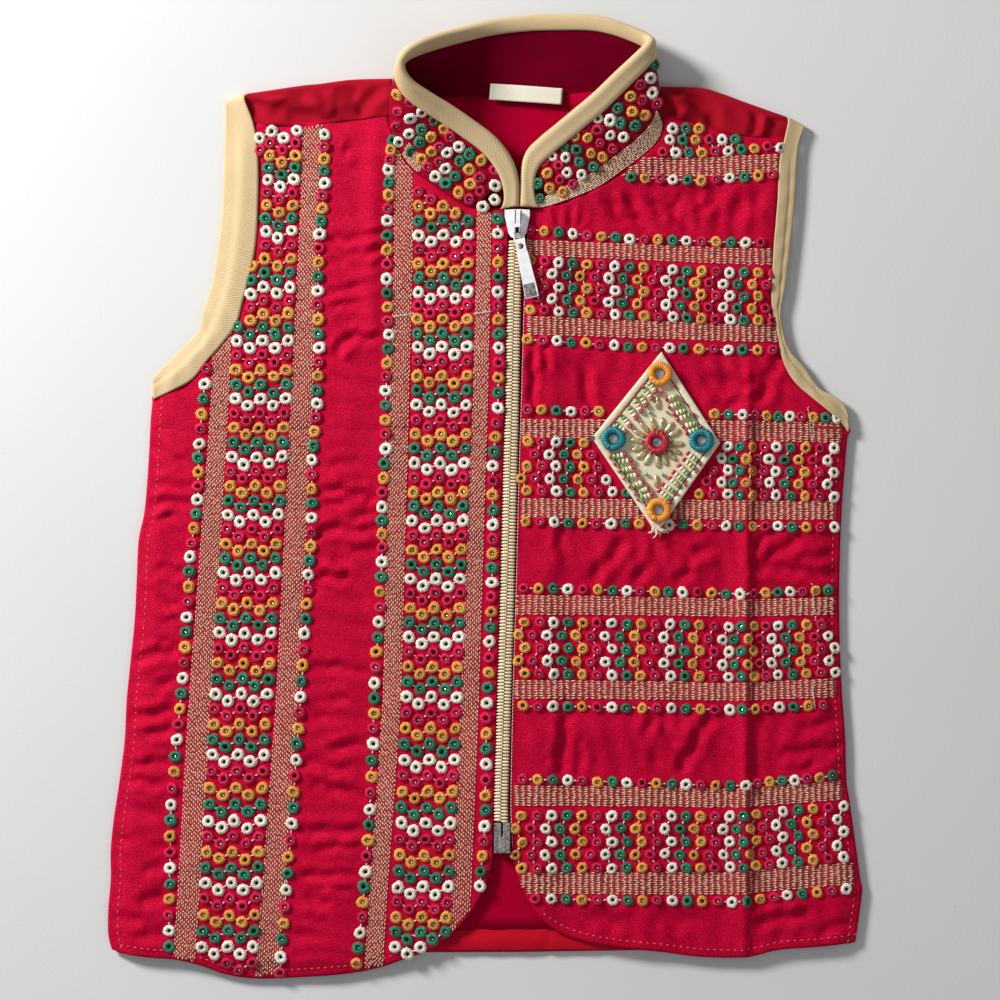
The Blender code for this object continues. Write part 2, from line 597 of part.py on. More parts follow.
def pull_tab(home):
    """The tab on the chain: a cross bar under the bridge, an eye, a plate and a turned-down end."""
    plate = [(-2.2, -0.5), (2.2, -0.5), (2.2, 4.0), (2.0, 6.0), (2.0, 8.4), (2.2, 9.2), (2.75, 25.0),
             (-2.75, 25.0), (-2.2, 9.2), (-2.0, 8.4), (-2.0, 6.0), (-2.2, 4.0)]
    slot = [(-1.6, 0.5), (1.6, 0.5), (1.6, 3.3), (-1.6, 3.3)]
    eye = circle(0.0, 6.3, 1.15, 14)
    bar = np.array([SLIDER[0], BAR_Y])
    loops = [[bar + turned(x, y, TAB_TURN) for x, y in loop] for loop in (plate, slot, eye)]
    tab = outline("zip_pull_tab", loops, BAR_Z - TAB_T / 2, BAR_Z + TAB_T / 2, "zip_metal", home, 0.18)
    helpers = bpy.data.collections.get("helpers")
    lip = [(24.6, -0.5), (24.6, 0.5), (25.4, 0.45), (27.2, -0.35), (27.2, -0.95), (25.4, -0.5)]
    ring = [[(*(bar + turned(x, y, TAB_TURN)), BAR_Z + z * 0.9) for y, z in lip] for x in (-2.7, 2.7)]
    end = loft("tab_end", ring, "zip_metal", helpers)
    end.hide_render = True
    end.display_type = "WIRE"
    join = tab.modifiers.new("end", "BOOLEAN")
    join.operation = "UNION"
    join.solver = "EXACT"
    join.object = end


def shrunk(corners, by):
    """A convex outline with every side moved in, the corners given clockwise."""
    p = np.array(corners, float)
    sides = []
    for a, b in zip(p, np.roll(p, -1, axis=0)):
        run = (b - a) / np.linalg.norm(b - a)
        inward = np.array([run[1], -run[0]])
        sides.append((a + inward * by, run))
    out = []
    for (a, u), (b, v) in zip(sides, sides[1:] + sides[:1]):
        t = np.linalg.solve(np.array([u, -v]).T, b - a)
        out.append(tuple(a + u * t[0]))
    return out[-1:] + out[:-1]


def patch(home):
    """The diamond patch with its rim, thread rings, mirrors and petals."""
    base = float(np.max([front_top(x, y) for x, y in PATCH + [(68.7, 22.0)]])) + GAP + 0.1
    top = base + PATCH_T
    outline("patch_ground", [shrunk(PATCH, PATCH_RIM + GAP)], base, top, "patch_cream", home)
    outline("patch_rim", [PATCH, shrunk(PATCH, PATCH_RIM)], base, top + 0.4, "patch_cream", home, 0.3)
    z = top + 0.4 + GAP
    for name, x, y, colour in PATCH_RINGS:
        bpy.ops.mesh.primitive_torus_add(
            major_radius=RING_R * MM, minor_radius=RING_WIRE * MM, major_segments=18, minor_segments=8,
            location=(x * MM, y * MM, (z + RING_WIRE * 0.8) * MM),
        )
        ring = bpy.context.object
        ring.scale.z = 0.8
        for user in list(ring.users_collection):
            user.objects.unlink(ring)
        home.objects.link(ring)
        ring.name = "patch_ring_" + name
        ring.data.materials.append(material(colour))
        outline("patch_mirror_" + name, [circle(x, y, MIRROR_R, 16)], z, z + 0.7, "mirror", home)
    x, y = PATCH_RINGS[4][1:3]
    star = []
    for i in range(PETALS):
        a = 2 * math.pi * i / PETALS
        for off, r in ((-0.5, 6.0), (-0.3, 8.6), (-0.12, 10.4), (0.12, 10.4), (0.3, 8.6)):
            b = a + off * 2 * math.pi / PETALS
            star.append((x + r * math.cos(b), y + r * math.sin(b)))
    hole = circle(x, y, RING_R + RING_WIRE + GAP, 30)
    outline("patch_flower", [star, hole], z, z + 1.0, "petal_gold", home)


def main():
    for obj in list(bpy.data.objects):
        bpy.data.objects.remove(obj)
    home = bpy.data.collections.new("embroidered_waistcoat")
    helpers = bpy.data.collections.new("helpers")
    for made in (home, helpers):
        bpy.context.scene.collection.children.link(made)
    helpers.hide_render = True
    back(home)
    lining(home)
    fronts(home)
    armhole("binding_armhole_right", ARM_OUT_R, ARM_IN_R, -1, home)
    armhole("binding_armhole_left", ARM_OUT_L, ARM_IN_L, 1, home)
    collar(home)
    label(home)
    zip_parts(home)
    slider(home)
    pull_tab(home)
    patch(home)


main()
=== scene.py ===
"""The looks of a child's embroidered zip waistcoat, laid flat on its back.

+X is the wearer's left and the photograph's right, +Y runs up to the collar, +Z up from
the floor. Sizes are millimetres until a mesh is made. UVs are millimetres along the cloth.
"""

import math

import bpy
import numpy as np
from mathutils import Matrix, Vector


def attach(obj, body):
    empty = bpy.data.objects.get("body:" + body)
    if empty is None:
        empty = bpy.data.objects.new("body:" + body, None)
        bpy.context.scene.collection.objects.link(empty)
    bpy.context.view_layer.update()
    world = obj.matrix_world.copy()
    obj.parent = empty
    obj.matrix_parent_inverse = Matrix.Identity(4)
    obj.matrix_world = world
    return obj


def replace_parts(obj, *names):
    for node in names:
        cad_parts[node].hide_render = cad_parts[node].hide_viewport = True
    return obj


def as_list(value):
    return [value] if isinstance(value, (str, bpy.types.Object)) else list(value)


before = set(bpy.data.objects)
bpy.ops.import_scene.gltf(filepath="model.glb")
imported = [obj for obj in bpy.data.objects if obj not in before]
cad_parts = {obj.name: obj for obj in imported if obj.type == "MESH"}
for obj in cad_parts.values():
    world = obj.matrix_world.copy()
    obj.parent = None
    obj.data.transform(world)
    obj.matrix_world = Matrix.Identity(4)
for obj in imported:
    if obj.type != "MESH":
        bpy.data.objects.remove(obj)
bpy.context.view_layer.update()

MM = 0.001
rng = np.random.default_rng(7)

# The camera looks straight down. One pixel of the 1000 pixel frame is 0.4 mm at FRONT_Z.
CAMERA_X = 6.0
CAMERA_Y = -1.0
CAMERA_UP = 1100.0
FIELD = 400.0

# Heights of the layers above the floor, how the fronts rise and fall, and the dressed cloth's wall.
LINING_Z = 2.5
TAPE_Z = 3.8
FRONT_Z = 4.4
SEAM_Z = 2.8
SEAM_ROLL = 9.0
BACK_HEM_Y = -182.6
HEM_DROOP = 1.3
ZIP_RISE = 1.2
NECK_RISE = 1.7
WALL = 0.5

# Outline of the body, x and y. The wearer's right side, from the hem up to the shoulder tip.
SIDE_R = [
    (-149.6, -181.0), (-151.0, -175.0), (-151.0, -165.0), (-150.0, -153.0), (-150.0, -141.0),
    (-148.8, -129.0), (-146.4, -113.0), (-144.4, -97.0), (-143.6, -81.0), (-142.0, -65.0),
    (-140.4, -49.0), (-139.6, -33.0), (-138.8, -17.0), (-136.4, -5.0), (-134.8, 15.0),
    (-134.0, 31.0), (-133.2, 39.0),
]
ARM_OUT_R = [
    (-133.2, 47.8), (-126.0, 55.0), (-120.0, 61.0), (-114.8, 67.0), (-112.8, 75.0), (-109.2, 87.0),
    (-106.8, 103.0), (-105.2, 119.0), (-104.4, 139.0), (-104.0, 151.0), (-104.0, 159.0),
]
ARM_IN_R = [
    (-132.8, 39.0), (-118.0, 46.2), (-111.2, 54.2), (-105.2, 61.0), (-99.2, 69.0), (-96.4, 79.0),
    (-93.2, 91.0), (-91.2, 103.0), (-90.4, 119.0), (-90.4, 135.0), (-92.0, 149.8), (-96.0, 161.8),
]
SIDE_L = [
    (148.4, -178.2), (150.0, -167.0), (151.2, -157.0), (150.4, -153.0), (148.8, -141.0),
    (146.0, -121.0), (144.8, -113.0), (144.4, -97.0), (143.2, -81.0), (142.4, -65.0),
    (142.0, -49.0), (142.0, -33.0), (142.4, -17.0), (143.2, -1.0), (144.4, 15.0), (145.4, 25.8),
]
ARM_OUT_L = [
    (145.6, 33.0), (144.0, 37.0), (140.0, 40.6), (134.0, 43.8), (127.2, 53.0), (122.0, 59.0),
    (119.2, 67.0), (118.4, 75.0), (120.0, 83.0), (122.0, 99.0), (124.0, 119.0), (124.8, 135.0),
    (125.6, 143.0), (127.6, 149.4),
]
ARM_IN_L = [
    (145.4, 25.8), (141.2, 31.0), (130.0, 40.2), (122.8, 47.0), (118.8, 55.0), (117.2, 63.0),
    (115.6, 71.0), (114.4, 79.0), (115.2, 99.0), (116.8, 119.0), (117.6, 135.0), (119.2, 143.0),
    (121.2, 152.6),
]
HEM_R = [
    (-149.6, -181.0), (-145.2, -182.6), (-134.0, -184.2), (-124.0, -185.0), (-114.0, -187.4),
    (-104.0, -191.0), (-92.0, -192.7), (-74.0, -192.2), (-54.0, -190.6), (-42.0, -188.2),
    (-34.0, -185.4), (-22.0, -181.0), (-16.0, -177.0), (-8.0, -169.0), (-2.8, -161.0),
    (0.8, -153.0), (2.6, -145.8),
]
HEM_L = [
    (10.8, -139.0), (11.2, -143.0), (12.4, -149.0), (14.4, -155.0), (18.0, -162.2), (24.0, -169.8),
    (32.0, -175.0), (42.0, -178.2), (54.0, -180.2), (70.0, -181.8), (86.0, -183.8), (102.0, -184.2),
    (108.0, -183.4), (118.0, -181.0), (134.0, -179.8), (148.4, -178.2),
]
# The zip's centre line and the two front edges beside it, top to bottom.
ZIP = [
    (12.6, 114.2), (12.2, 103.0), (11.7, 79.0), (11.0, 39.0), (10.0, -1.0), (9.0, -41.0),
    (7.8, -81.0), (6.6, -121.0), (6.6, -141.2),
]
CF_R = [
    (9.2, 113.4), (9.0, 103.0), (8.5, 79.0), (7.8, 39.0), (6.8, -1.0), (5.8, -41.0), (4.6, -81.0),
    (3.4, -121.0), (2.9, -141.0), (2.6, -145.8),
]
CF_L = [
    (17.6, 113.6), (16.8, 103.0), (15.6, 79.0), (14.4, 39.0), (13.2, -1.0), (12.2, -41.0),
    (11.0, -81.0), (10.2, -121.0), (10.8, -139.0),
]
# The shoulders: the fold at the top, and the seam where the yoke meets the front.
FOLD_R = [(-95.6, 161.8), (-74.0, 165.0), (-66.0, 165.8), (-54.0, 167.4), (-39.4, 167.8)]
SEAM_R = [(-90.8, 148.8), (-74.0, 148.8), (-58.0, 150.4), (-46.0, 151.6), (-39.6, 152.8)]
FOLD_L = [(72.4, 164.6), (86.0, 164.2), (94.0, 162.2), (106.0, 157.8), (120.8, 152.6)]
SEAM_L = [(72.4, 151.4), (80.0, 151.0), (86.0, 149.0), (98.0, 145.4), (110.0, 144.2), (118.8, 143.8)]
# The back's top edge below the collar, from shoulder to shoulder.
JOIN_R = [(-91.0, 148.0), (-74.0, 152.0), (-58.0, 156.0), (-39.4, 160.6)]
JOIN_NECK = [
    (-39.4, 160.6), (-33.7, 161.2), (-26.1, 160.0), (-16.1, 159.1), (-2.0, 158.7), (14.0, 159.1),
    (30.1, 159.9), (44.1, 161.5), (53.3, 162.6), (61.3, 162.2), (66.9, 160.2), (72.4, 157.6),
]
JOIN_L = [(72.4, 157.6), (90.0, 153.0), (104.0, 148.0), (118.6, 141.6)]

# The stand collar, all round from the zip: seam x, y, z and free edge x, y, z.
# A seam height of None follows the front.
COLLAR = [
    (8.6, 115.8, None, 12.9, 116.2, 7.2),
    (2.0, 114.9, None, 13.0, 125.7, 8.4),
    (-6.0, 116.1, None, 10.4, 134.3, 10.0),
    (-14.8, 120.7, None, 4.4, 142.3, 12.0),
    (-22.7, 126.3, None, -4.3, 148.8, 14.0),
    (-29.9, 132.2, None, -13.0, 154.3, 17.0),
    (-34.7, 139.4, None, -21.6, 158.9, 21.0),
    (-37.5, 146.6, None, -27.8, 162.4, 24.0),
    (-38.5, 153.8, 6.2, -31.6, 166.0, 26.0),
    (-38.5, 160.0, 5.2, -33.2, 169.8, 27.0),
    (-37.2, 163.8, 3.8, -32.4, 173.3, 27.0),
    (-33.7, 162.9, 2.2, -28.9, 177.1, 25.0),
    (-26.1, 161.0, 1.0, -21.6, 181.5, 20.0),
    (-16.1, 159.9, 0.6, -9.9, 186.3, 13.0),
    (-2.0, 159.5, 0.5, 3.2, 190.1, 8.0),
    (14.0, 159.9, 0.5, 16.8, 192.0, 6.0),
    (30.1, 160.7, 0.5, 30.0, 192.4, 6.0),
    (44.1, 162.3, 0.5, 41.9, 192.1, 7.0),
    (53.3, 163.5, 0.8, 50.6, 190.3, 8.0),
    (61.3, 164.2, 1.6, 58.6, 187.3, 9.0),
    (66.9, 163.1, 3.0, 63.7, 184.7, 10.5),
    (70.0, 159.7, 4.8, 66.1, 182.2, 13.5),
    (70.9, 154.7, 6.0, 64.9, 180.2, 16.0),
    (71.0, 149.0, None, 59.8, 175.2, 16.5),
    (69.0, 142.2, None, 51.9, 168.0, 15.5),
    (63.0, 136.2, None, 43.3, 159.9, 14.0),
    (54.7, 130.1, None, 35.8, 153.8, 12.5),
    (46.3, 124.3, None, 28.2, 147.6, 11.5),
    (38.3, 120.7, None, 21.9, 142.6, 10.0),
    (30.8, 118.0, None, 16.9, 137.4, 8.8),
    (25.2, 116.4, None, 14.9, 129.8, 8.0),
    (20.8, 115.8, None, 14.6, 116.2, 7.2),
]
COLLAR_SHORT = 2.0
COLLAR_SEAM = [row[:2] for row in COLLAR]
# The collar's seam and then the yoke's, as the top edge of each front.
NECK_LINE_R = COLLAR_SEAM[:8] + [(-39.6, 152.8)] + SEAM_R[:-1][::-1]
NECK_LINE_L = COLLAR_SEAM[24:][::-1] + SEAM_L

# Largest folds of the fronts: start x, y, end x, y, half width, height.
FOLDS = [
    (-44.0, 152.0, -46.0, 58.0, 4.5, 1.3),
    (105.0, 58.0, 104.0, -184.0, 2.6, 0.9),
    (-58.0, -150.0, -64.0, -194.0, 9.0, 0.9),
    (-18.0, -120.0, -24.0, -184.0, 8.0, 0.8),
    (60.0, -146.0, 64.0, -184.0, 9.0, 0.7),
    (24.0, 99.0, 66.0, 93.0, 5.0, 0.7),
    (20.0, 52.0, 40.0, 60.0, 5.0, 0.6),
    (22.0, -22.0, 92.0, -27.0, 6.0, 0.8),
    (20.0, -92.0, 96.0, -96.0, 6.0, 0.8),
    (112.0, -18.0, 140.0, -30.0, 5.0, 0.7),
]

# Creases pressed into the plain strips between the bands: start x, y, end x, y, half width, depth.
MIDDLE_CREASES = [
    (-56.8, 137.4, -53.6, 138.6, 1.6, 0.5), (-61.2, 102.6, -48.4, 103.4, 1.5, 0.6),
    (-46.8, 105.0, -41.6, 105.8, 1.4, 0.9), (-47.6, 97.0, -41.6, 99.0, 1.5, 0.9),
    (-62.8, 94.2, -56.4, 93.8, 1.5, 0.6), (-62.4, 82.2, -49.2, 83.8, 1.6, 0.6),
    (-62.0, 77.0, -53.2, 77.0, 1.6, 0.6), (-59.4, 58.6, -53.4, 64.2, 1.8, 0.9),
    (-53.6, 64.4, -42.8, 63.4, 1.6, 0.8), (-64.8, 13.8, -52.0, 13.8, 1.7, 0.4),
    (-64.8, 3.0, -46.8, 1.0, 1.6, 0.9), (-48.0, -3.4, -43.6, 0.6, 1.4, 0.7),
    (-64.0, -2.6, -56.8, -1.8, 1.4, 0.6), (-53.6, -8.6, -44.4, -6.2, 1.6, 0.6),
    (-68.0, -15.0, -59.4, -12.2, 1.7, 0.9), (-60.6, -12.4, -44.4, -13.2, 1.7, 0.9),
    (-56.8, -20.2, -44.8, -21.8, 1.6, 0.6), (-60.0, -23.0, -54.0, -27.0, 2.4, 1.0),
    (-66.8, -31.8, -55.6, -31.8, 1.8, 0.9), (-68.8, -37.0, -63.2, -36.2, 1.5, 0.5),
    (-68.4, -67.8, -55.6, -68.2, 1.7, 0.7), (-56.4, -68.2, -47.2, -71.4, 1.6, 0.6),
    (-60.4, -80.6, -54.8, -80.6, 1.7, 0.5), (-69.6, -86.2, -64.0, -87.8, 1.7, 0.6),
    (-62.0, -100.2, -47.6, -98.2, 1.8, 0.9), (-72.0, -105.4, -55.6, -109.8, 1.8, 0.7),
    (-68.4, -114.6, -48.4, -119.8, 2.0, 0.7), (-74.0, -133.0, -49.2, -133.8, 1.9, 1.0),
    (-66.8, -140.6, -50.0, -139.0, 1.7, 0.6), (-74.0, -151.8, -52.0, -151.0, 1.7, 1.0),
    (-74.0, -155.8, -54.0, -156.6, 1.4, 0.6), (-71.2, -159.4, -63.2, -163.0, 2.3, 0.9),
    (-74.0, -173.0, -68.8, -177.0, 1.8, 0.6),
]
OUTER_CREASES = [
    (-134.0, 21.8, -120.8, 13.8, 1.7, 0.6), (-130.0, 5.0, -118.0, 3.0, 1.7, 0.6),
    (-135.2, -2.2, -118.0, -2.2, 1.7, 0.9), (-130.0, -7.4, -121.6, -7.0, 1.6, 0.5),
    (-131.6, -28.6, -120.8, -29.8, 1.7, 0.7), (-138.8, -35.8, -133.6, -37.0, 1.6, 0.6),
    (-126.8, -42.6, -121.6, -43.4, 1.6, 0.5), (-127.6, -49.0, -121.6, -48.6, 1.5, 0.5),
    (-130.0, -58.6, -124.0, -57.8, 1.6, 0.6), (-142.0, -65.0, -123.2, -61.0, 1.8, 0.9),
    (-131.2, -75.0, -123.6, -73.4, 1.6, 0.6), (-143.2, -87.8, -125.2, -85.4, 1.8, 0.9),
    (-134.8, -95.0, -125.2, -91.8, 1.7, 0.6), (-141.2, -107.4, -127.2, -105.4, 1.7, 0.7),
    (-144.0, -113.0, -128.8, -114.6, 1.7, 0.7), (-141.6, -123.0, -134.0, -127.4, 1.8, 0.7),
    (-148.8, -136.6, -141.6, -137.4, 1.7, 0.5), (-133.2, -139.4, -128.0, -139.8, 1.7, 0.6),
    (-136.4, -149.0, -128.8, -149.0, 1.8, 0.7), (-137.2, -162.6, -128.8, -158.6, 2.2, 0.8),
    (-146.0, -168.0, -134.0, -171.0, 2.4, 0.6), (-140.0, -176.0, -128.0, -174.0, 2.2, 0.6),
]
CHEST_CREASES = [
    (56.8, 120.6, 64.0, 107.0, 2.0, 0.7), (49.6, 117.8, 58.4, 109.4, 1.8, 0.7),
    (66.8, 117.8, 76.0, 114.2, 1.8, 0.7), (75.4, 114.6, 82.4, 107.0, 1.8, 0.6),
    (78.0, 120.6, 92.4, 120.6, 3.0, 0.7), (85.2, 113.4, 92.4, 119.4, 1.8, 0.5),
    (98.8, 115.0, 109.6, 119.8, 3.0, 0.7), (29.2, 108.6, 29.2, 116.0, 1.3, 0.6),
    (34.8, 108.6, 34.8, 117.0, 1.3, 0.5), (38.4, 109.0, 38.4, 117.0, 1.3, 0.5),
    (24.4, 59.8, 24.4, 51.0, 1.5, 0.7), (39.2, 53.0, 41.6, 37.0, 1.7, 0.7),
    (19.2, 60.0, 19.2, 37.0, 1.4, 0.7), (87.6, 47.0, 105.2, 43.4, 2.8, 0.7),
    (96.4, 36.6, 111.2, 40.6, 1.8, 0.6), (117.2, 57.0, 110.4, 39.0, 2.0, 0.7),
]
WAIST_CREASES = [
    (30.4, -12.2, 30.4, -21.0, 1.6, 0.6), (31.0, -22.0, 33.0, -25.0, 1.8, 0.8),
    (42.8, -33.0, 55.6, -17.4, 2.0, 0.9), (60.0, -33.8, 66.0, -26.2, 1.8, 0.7),
    (66.8, -18.2, 69.6, -26.2, 1.6, 0.6), (74.0, -18.2, 80.8, -22.6, 1.7, 0.6),
    (80.8, -25.0, 90.4, -19.8, 1.9, 0.9), (77.2, -33.8, 82.4, -28.6, 1.8, 0.7),
    (106.8, -27.0, 142.4, -31.4, 1.9, 1.0), (108.0, -19.6, 114.8, -13.8, 1.7, 0.6),
    (112.0, -25.0, 125.2, -16.6, 1.9, 0.7), (126.0, -25.0, 140.8, -22.6, 1.8, 0.7),
    (32.8, -87.4, 30.0, -109.4, 1.9, 0.9), (38.0, -97.8, 38.0, -110.6, 1.6, 0.6),
    (64.0, -96.2, 67.2, -87.4, 1.7, 0.7), (70.8, -88.2, 74.4, -97.8, 1.7, 0.7),
    (66.8, -102.6, 69.2, -107.0, 1.9, 0.8), (78.0, -109.4, 89.6, -88.2, 2.0, 0.9),
    (119.2, -102.6, 144.0, -99.8, 1.9, 0.9), (127.2, -92.6, 144.0, -88.2, 1.8, 0.6),
    (126.0, -108.6, 137.2, -103.4, 1.8, 0.6), (42.0, -167.4, 57.2, -171.0, 2.8, 0.7),
    (70.8, -166.6, 84.4, -171.0, 2.6, 0.7), (108.0, -170.2, 129.6, -166.6, 2.0, 0.9),
    (134.0, -174.0, 147.0, -170.0, 2.0, 0.6),
]
CREASES = MIDDLE_CREASES + OUTER_CREASES + CHEST_CREASES + WAIST_CREASES
# The pressed tuck of the wearer's left front, from its top to its bottom: x, y, x, y.
TUCK = (105.5, 57.0, 104.0, -184.0)
TUCK_STEP = 1.3
# The deepest that creases go together, and the height of the fine puckers.
CREASE_FLOOR = 1.3
GATHER = 0.26

YOKE_CREASES = [
    (68.0, 166.0, 76.0, 150.0, 2.4, 0.9), (82.0, 163.0, 93.2, 149.0, 2.6, 1.0),
    (108.8, 158.0, 108.0, 145.0, 1.8, 0.6), (114.8, 156.0, 114.0, 144.0, 1.8, 0.6),
    (-94.0, 157.0, -62.0, 149.0, 2.8, 1.0), (-60.0, 167.0, -52.0, 160.0, 2.4, 0.7),
    (-80.0, 166.0, -70.0, 152.0, 3.0, 0.5), (-50.0, 153.0, -44.0, 165.0, 2.0, 0.6),
]

# The diamond patch: its corners, clockwise from the top, its thickness and the gap below it.
PATCH = [(70.5, 58.3), (94.0, 21.8), (68.6, -14.6), (42.7, 23.8)]
PATCH_CENTRE = (68.7, 22.0)
PATCH_T = 1.2
GAP = 0.3
# The cloth lies smooth in a diamond under the patch: its centre and half sizes.
SMOOTH_X, SMOOTH_Y, SMOOTH_WIDE, SMOOTH_HIGH = 68.6, 22.0, 26.0, 37.0
# Where the wearer's right front ends and the left one starts, for tests on x.
FRONTS_MEET = 9.0


def smooth(t):
    """0 below 0, 1 above 1, with a soft step between."""
    t = np.clip(t, 0.0, 1.0)
    return t * t * (3.0 - 2.0 * t)


def distance(x, y, line):
    """The distance of each point from a line of x, y points."""
    x = np.asarray(x, float)
    best = np.full(x.shape, 1e9)
    for (ax, ay), (bx, by) in zip(line[:-1], line[1:]):
        run = (bx - ax, by - ay)
        t = ((x - ax) * run[0] + (y - ay) * run[1]) / (run[0] ** 2 + run[1] ** 2)
        t = np.clip(t, 0.0, 1.0)
        best = np.minimum(best, np.hypot(x - ax - t * run[0], y - ay - t * run[1]))
    return best


def across(y, line):
    """The x of a line of x, y points at each y."""
    points = sorted(line, key=lambda p: p[1])
    return np.interp(y, [p[1] for p in points], [p[0] for p in points])


def along(x, line):
    """The y of a line of x, y points at each x."""
    points = sorted(line)
    return np.interp(x, [p[0] for p in points], [p[1] for p in points])


def from_side(x, y):
    """How far inside the body's side edges each point lies."""
    return np.minimum(x - across(y, SIDE_R + ARM_OUT_R), across(y, SIDE_L + ARM_OUT_L) - x)


def folds(x, y, table):
    """The rise of soft ridges that fade towards their ends."""
    total = np.zeros(np.shape(x))
    for ax, ay, bx, by, wide, high in table:
        run, length = (bx - ax, by - ay), math.hypot(bx - ax, by - ay)
        t = ((x - ax) * run[0] + (y - ay) * run[1]) / length**2
        off = np.abs((x - ax) * run[1] - (y - ay) * run[0]) / length
        fade = smooth((t + 0.05) / 0.2) * smooth((1.05 - t) / 0.2)
        total = total + high * np.exp(-((off / wide) ** 2)) * fade
    return total


def creases(x, y, table):
    """Pressed troughs with a soft, uneven shoulder on each side."""
    total = np.zeros(np.shape(x))
    for k, (ax, ay, bx, by, wide, deep) in enumerate(table):
        length = math.hypot(bx - ax, by - ay)
        run = ((bx - ax) / length, (by - ay) / length)
        reach = length / 2 + 6.0
        near = np.hypot(x - (ax + bx) / 2, y - (ay + by) / 2) < reach + 4 * wide
        px, py = x[near] - ax, y[near] - ay
        s = px * run[0] + py * run[1]
        off = py * run[0] - px * run[1] - 0.5 * np.sin(s * 0.55 + 1.7 * k)
        fade = smooth((s + 2.5) / 4.5) * smooth((length + 2.5 - s) / 4.5)
        fade = fade * (0.8 + 0.2 * np.sin(s * 0.9 + k))
        low, high = (0.55, 0.3) if k % 2 else (0.35, 0.6)
        shape = -np.exp(-((off / wide) ** 2))
        shape = shape + low * np.exp(-(((off + 2.2 * wide) / (1.1 * wide)) ** 2))
        shape = shape + high * np.exp(-(((off - 2.1 * wide) / wide) ** 2))
        total[near] += 2.1 * deep * shape * fade
    return np.where(total < 0, CREASE_FLOOR * np.tanh(total / CREASE_FLOOR), total)


def front_top(x, y):
    """The height of the fronts' outer face in the model, which the yokes and bindings share."""
    x, y = np.asarray(x, float), np.asarray(y, float)
    rise = ZIP_RISE * smooth((26.0 - np.abs(x - across(y, ZIP))) / 12.0)
    ring = np.minimum(distance(x, y, COLLAR_SEAM[:10]), distance(x, y, COLLAR_SEAM[21:]))
    lift = NECK_RISE * np.exp(-((ring / 9.0) ** 2)) * smooth((np.abs(x - 13.0) - 7.0) / 20.0)
    level = FRONT_Z + np.hypot(rise, lift) + folds(x, y, FOLDS)
    droop = HEM_DROOP * smooth((BACK_HEM_Y - 1.0 - y) / 8.0)
    return SEAM_Z + (level - SEAM_Z) * smooth(from_side(x, y) / SEAM_ROLL) - droop


def gathers(x, y):
    """Fine puckers of the plain strips, across each strip, where the embroidery draws the silk in."""
    strip = smooth((x - column(BAND_A, y, 8)) / 5) * smooth((column(BAND_B, y, 1) - x) / 5)
    strip = np.maximum(strip, smooth((column(BAND_A, y, 1) - x) / 5))
    down = np.sin(0.80 * y + 1.3 * np.sin(0.17 * x + 0.05 * y) + 2.2 * np.sin(0.067 * y))
    down = down * (0.6 + 0.4 * np.sin(0.13 * y + 0.09 * x)) * strip
    between = np.zeros(np.shape(x))
    bands = [BAND_2, BAND_3, BAND_4, BAND_5]
    for above, below in zip([None] + bands, bands + [None]):
        high = 126.0 if above is None else level_of(above, x, 8)
        low = -186.0 if below is None else level_of(below, x, 1)
        between = np.maximum(between, smooth((high - y) / 5) * smooth((y - low) / 5))
    side = np.sin(0.72 * x + 1.4 * np.sin(0.15 * y + 0.04 * x) + 1.8 * np.sin(0.055 * x + 1.0))
    side = side * (0.6 + 0.4 * np.sin(0.11 * x - 0.08 * y)) * between
    return GATHER * np.where(x < FRONTS_MEET, down, side)


def top(x, y):
    """The fronts' outer face with its creases, the tuck and the cloth's slight unevenness."""
    x, y = np.asarray(x, float), np.asarray(y, float)
    hem = y - np.where(x < 5.0, along(x, HEM_R), along(x, HEM_L))
    hold = smooth(from_side(x, y) / 6.0) * smooth((hem - 0.5) / 4.0)
    uneven = 0.16 * np.sin(x * 0.31 + 1.3 * np.sin(y * 0.11))
    uneven = uneven + 0.14 * np.sin(y * 0.37 + 1.1 * np.sin(x * 0.13))
    uneven = uneven + 0.10 * np.sin((x + y) * 0.53) * np.sin((x - y) * 0.21)
    off = x - np.interp(y, [TUCK[3], TUCK[1]], [TUCK[2], TUCK[0]])
    tucked = np.maximum(across(y, ARM_IN_R) - x, x - across(y, ARM_IN_L)) * (y > 28.0)
    neck = np.where(x < FRONTS_MEET, along(x, NECK_LINE_R), along(x, NECK_LINE_L))
    tucked = np.maximum(tucked, y - neck)
    step = smooth(1.0 + off / 9.0) * smooth(1.0 - off / 1.8) * smooth((TUCK[1] - y) / 12.0)
    diamond = np.abs(x - SMOOTH_X) / SMOOTH_WIDE + np.abs(y - SMOOTH_Y) / SMOOTH_HIGH
    hold = hold * smooth((diamond - 1.02) / 0.2)
    level = front_top(x, y) + hold * (uneven + gathers(x, y) + creases(x, y, CREASES))
    return level + TUCK_STEP * step * smooth(hem / 3.0) - 0.6 * smooth((tucked + 1.0) / 1.6)


def rounded(line, steps=6):
    """A Catmull-Rom curve through the points of a line."""
    p = np.array(line, float)
    p = np.vstack([2 * p[0] - p[1], p, 2 * p[-1] - p[-2]])
    out = []
    for i in range(1, len(p) - 2):
        a, b, c, d = p[i - 1 : i + 3]
        for t in np.linspace(0.0, 1.0, steps, endpoint=False):
            out.append(
                0.5 * (2 * b + (c - a) * t + (2 * a - 5 * b + 4 * c - d) * t**2
                       + (3 * b - a - 3 * c + d) * t**3)
            )
    out.append(p[-2])
    return np.array(out)


def spaced(line, count):
    """This many points at even steps along a line."""
    p = np.array(line, float)
    run = np.concatenate([[0.0], np.cumsum(np.linalg.norm(np.diff(p, axis=0), axis=1))])
    at = np.linspace(0.0, run[-1], count)
    return np.stack([np.interp(at, run, p[:, k]) for k in range(p.shape[1])], axis=1)


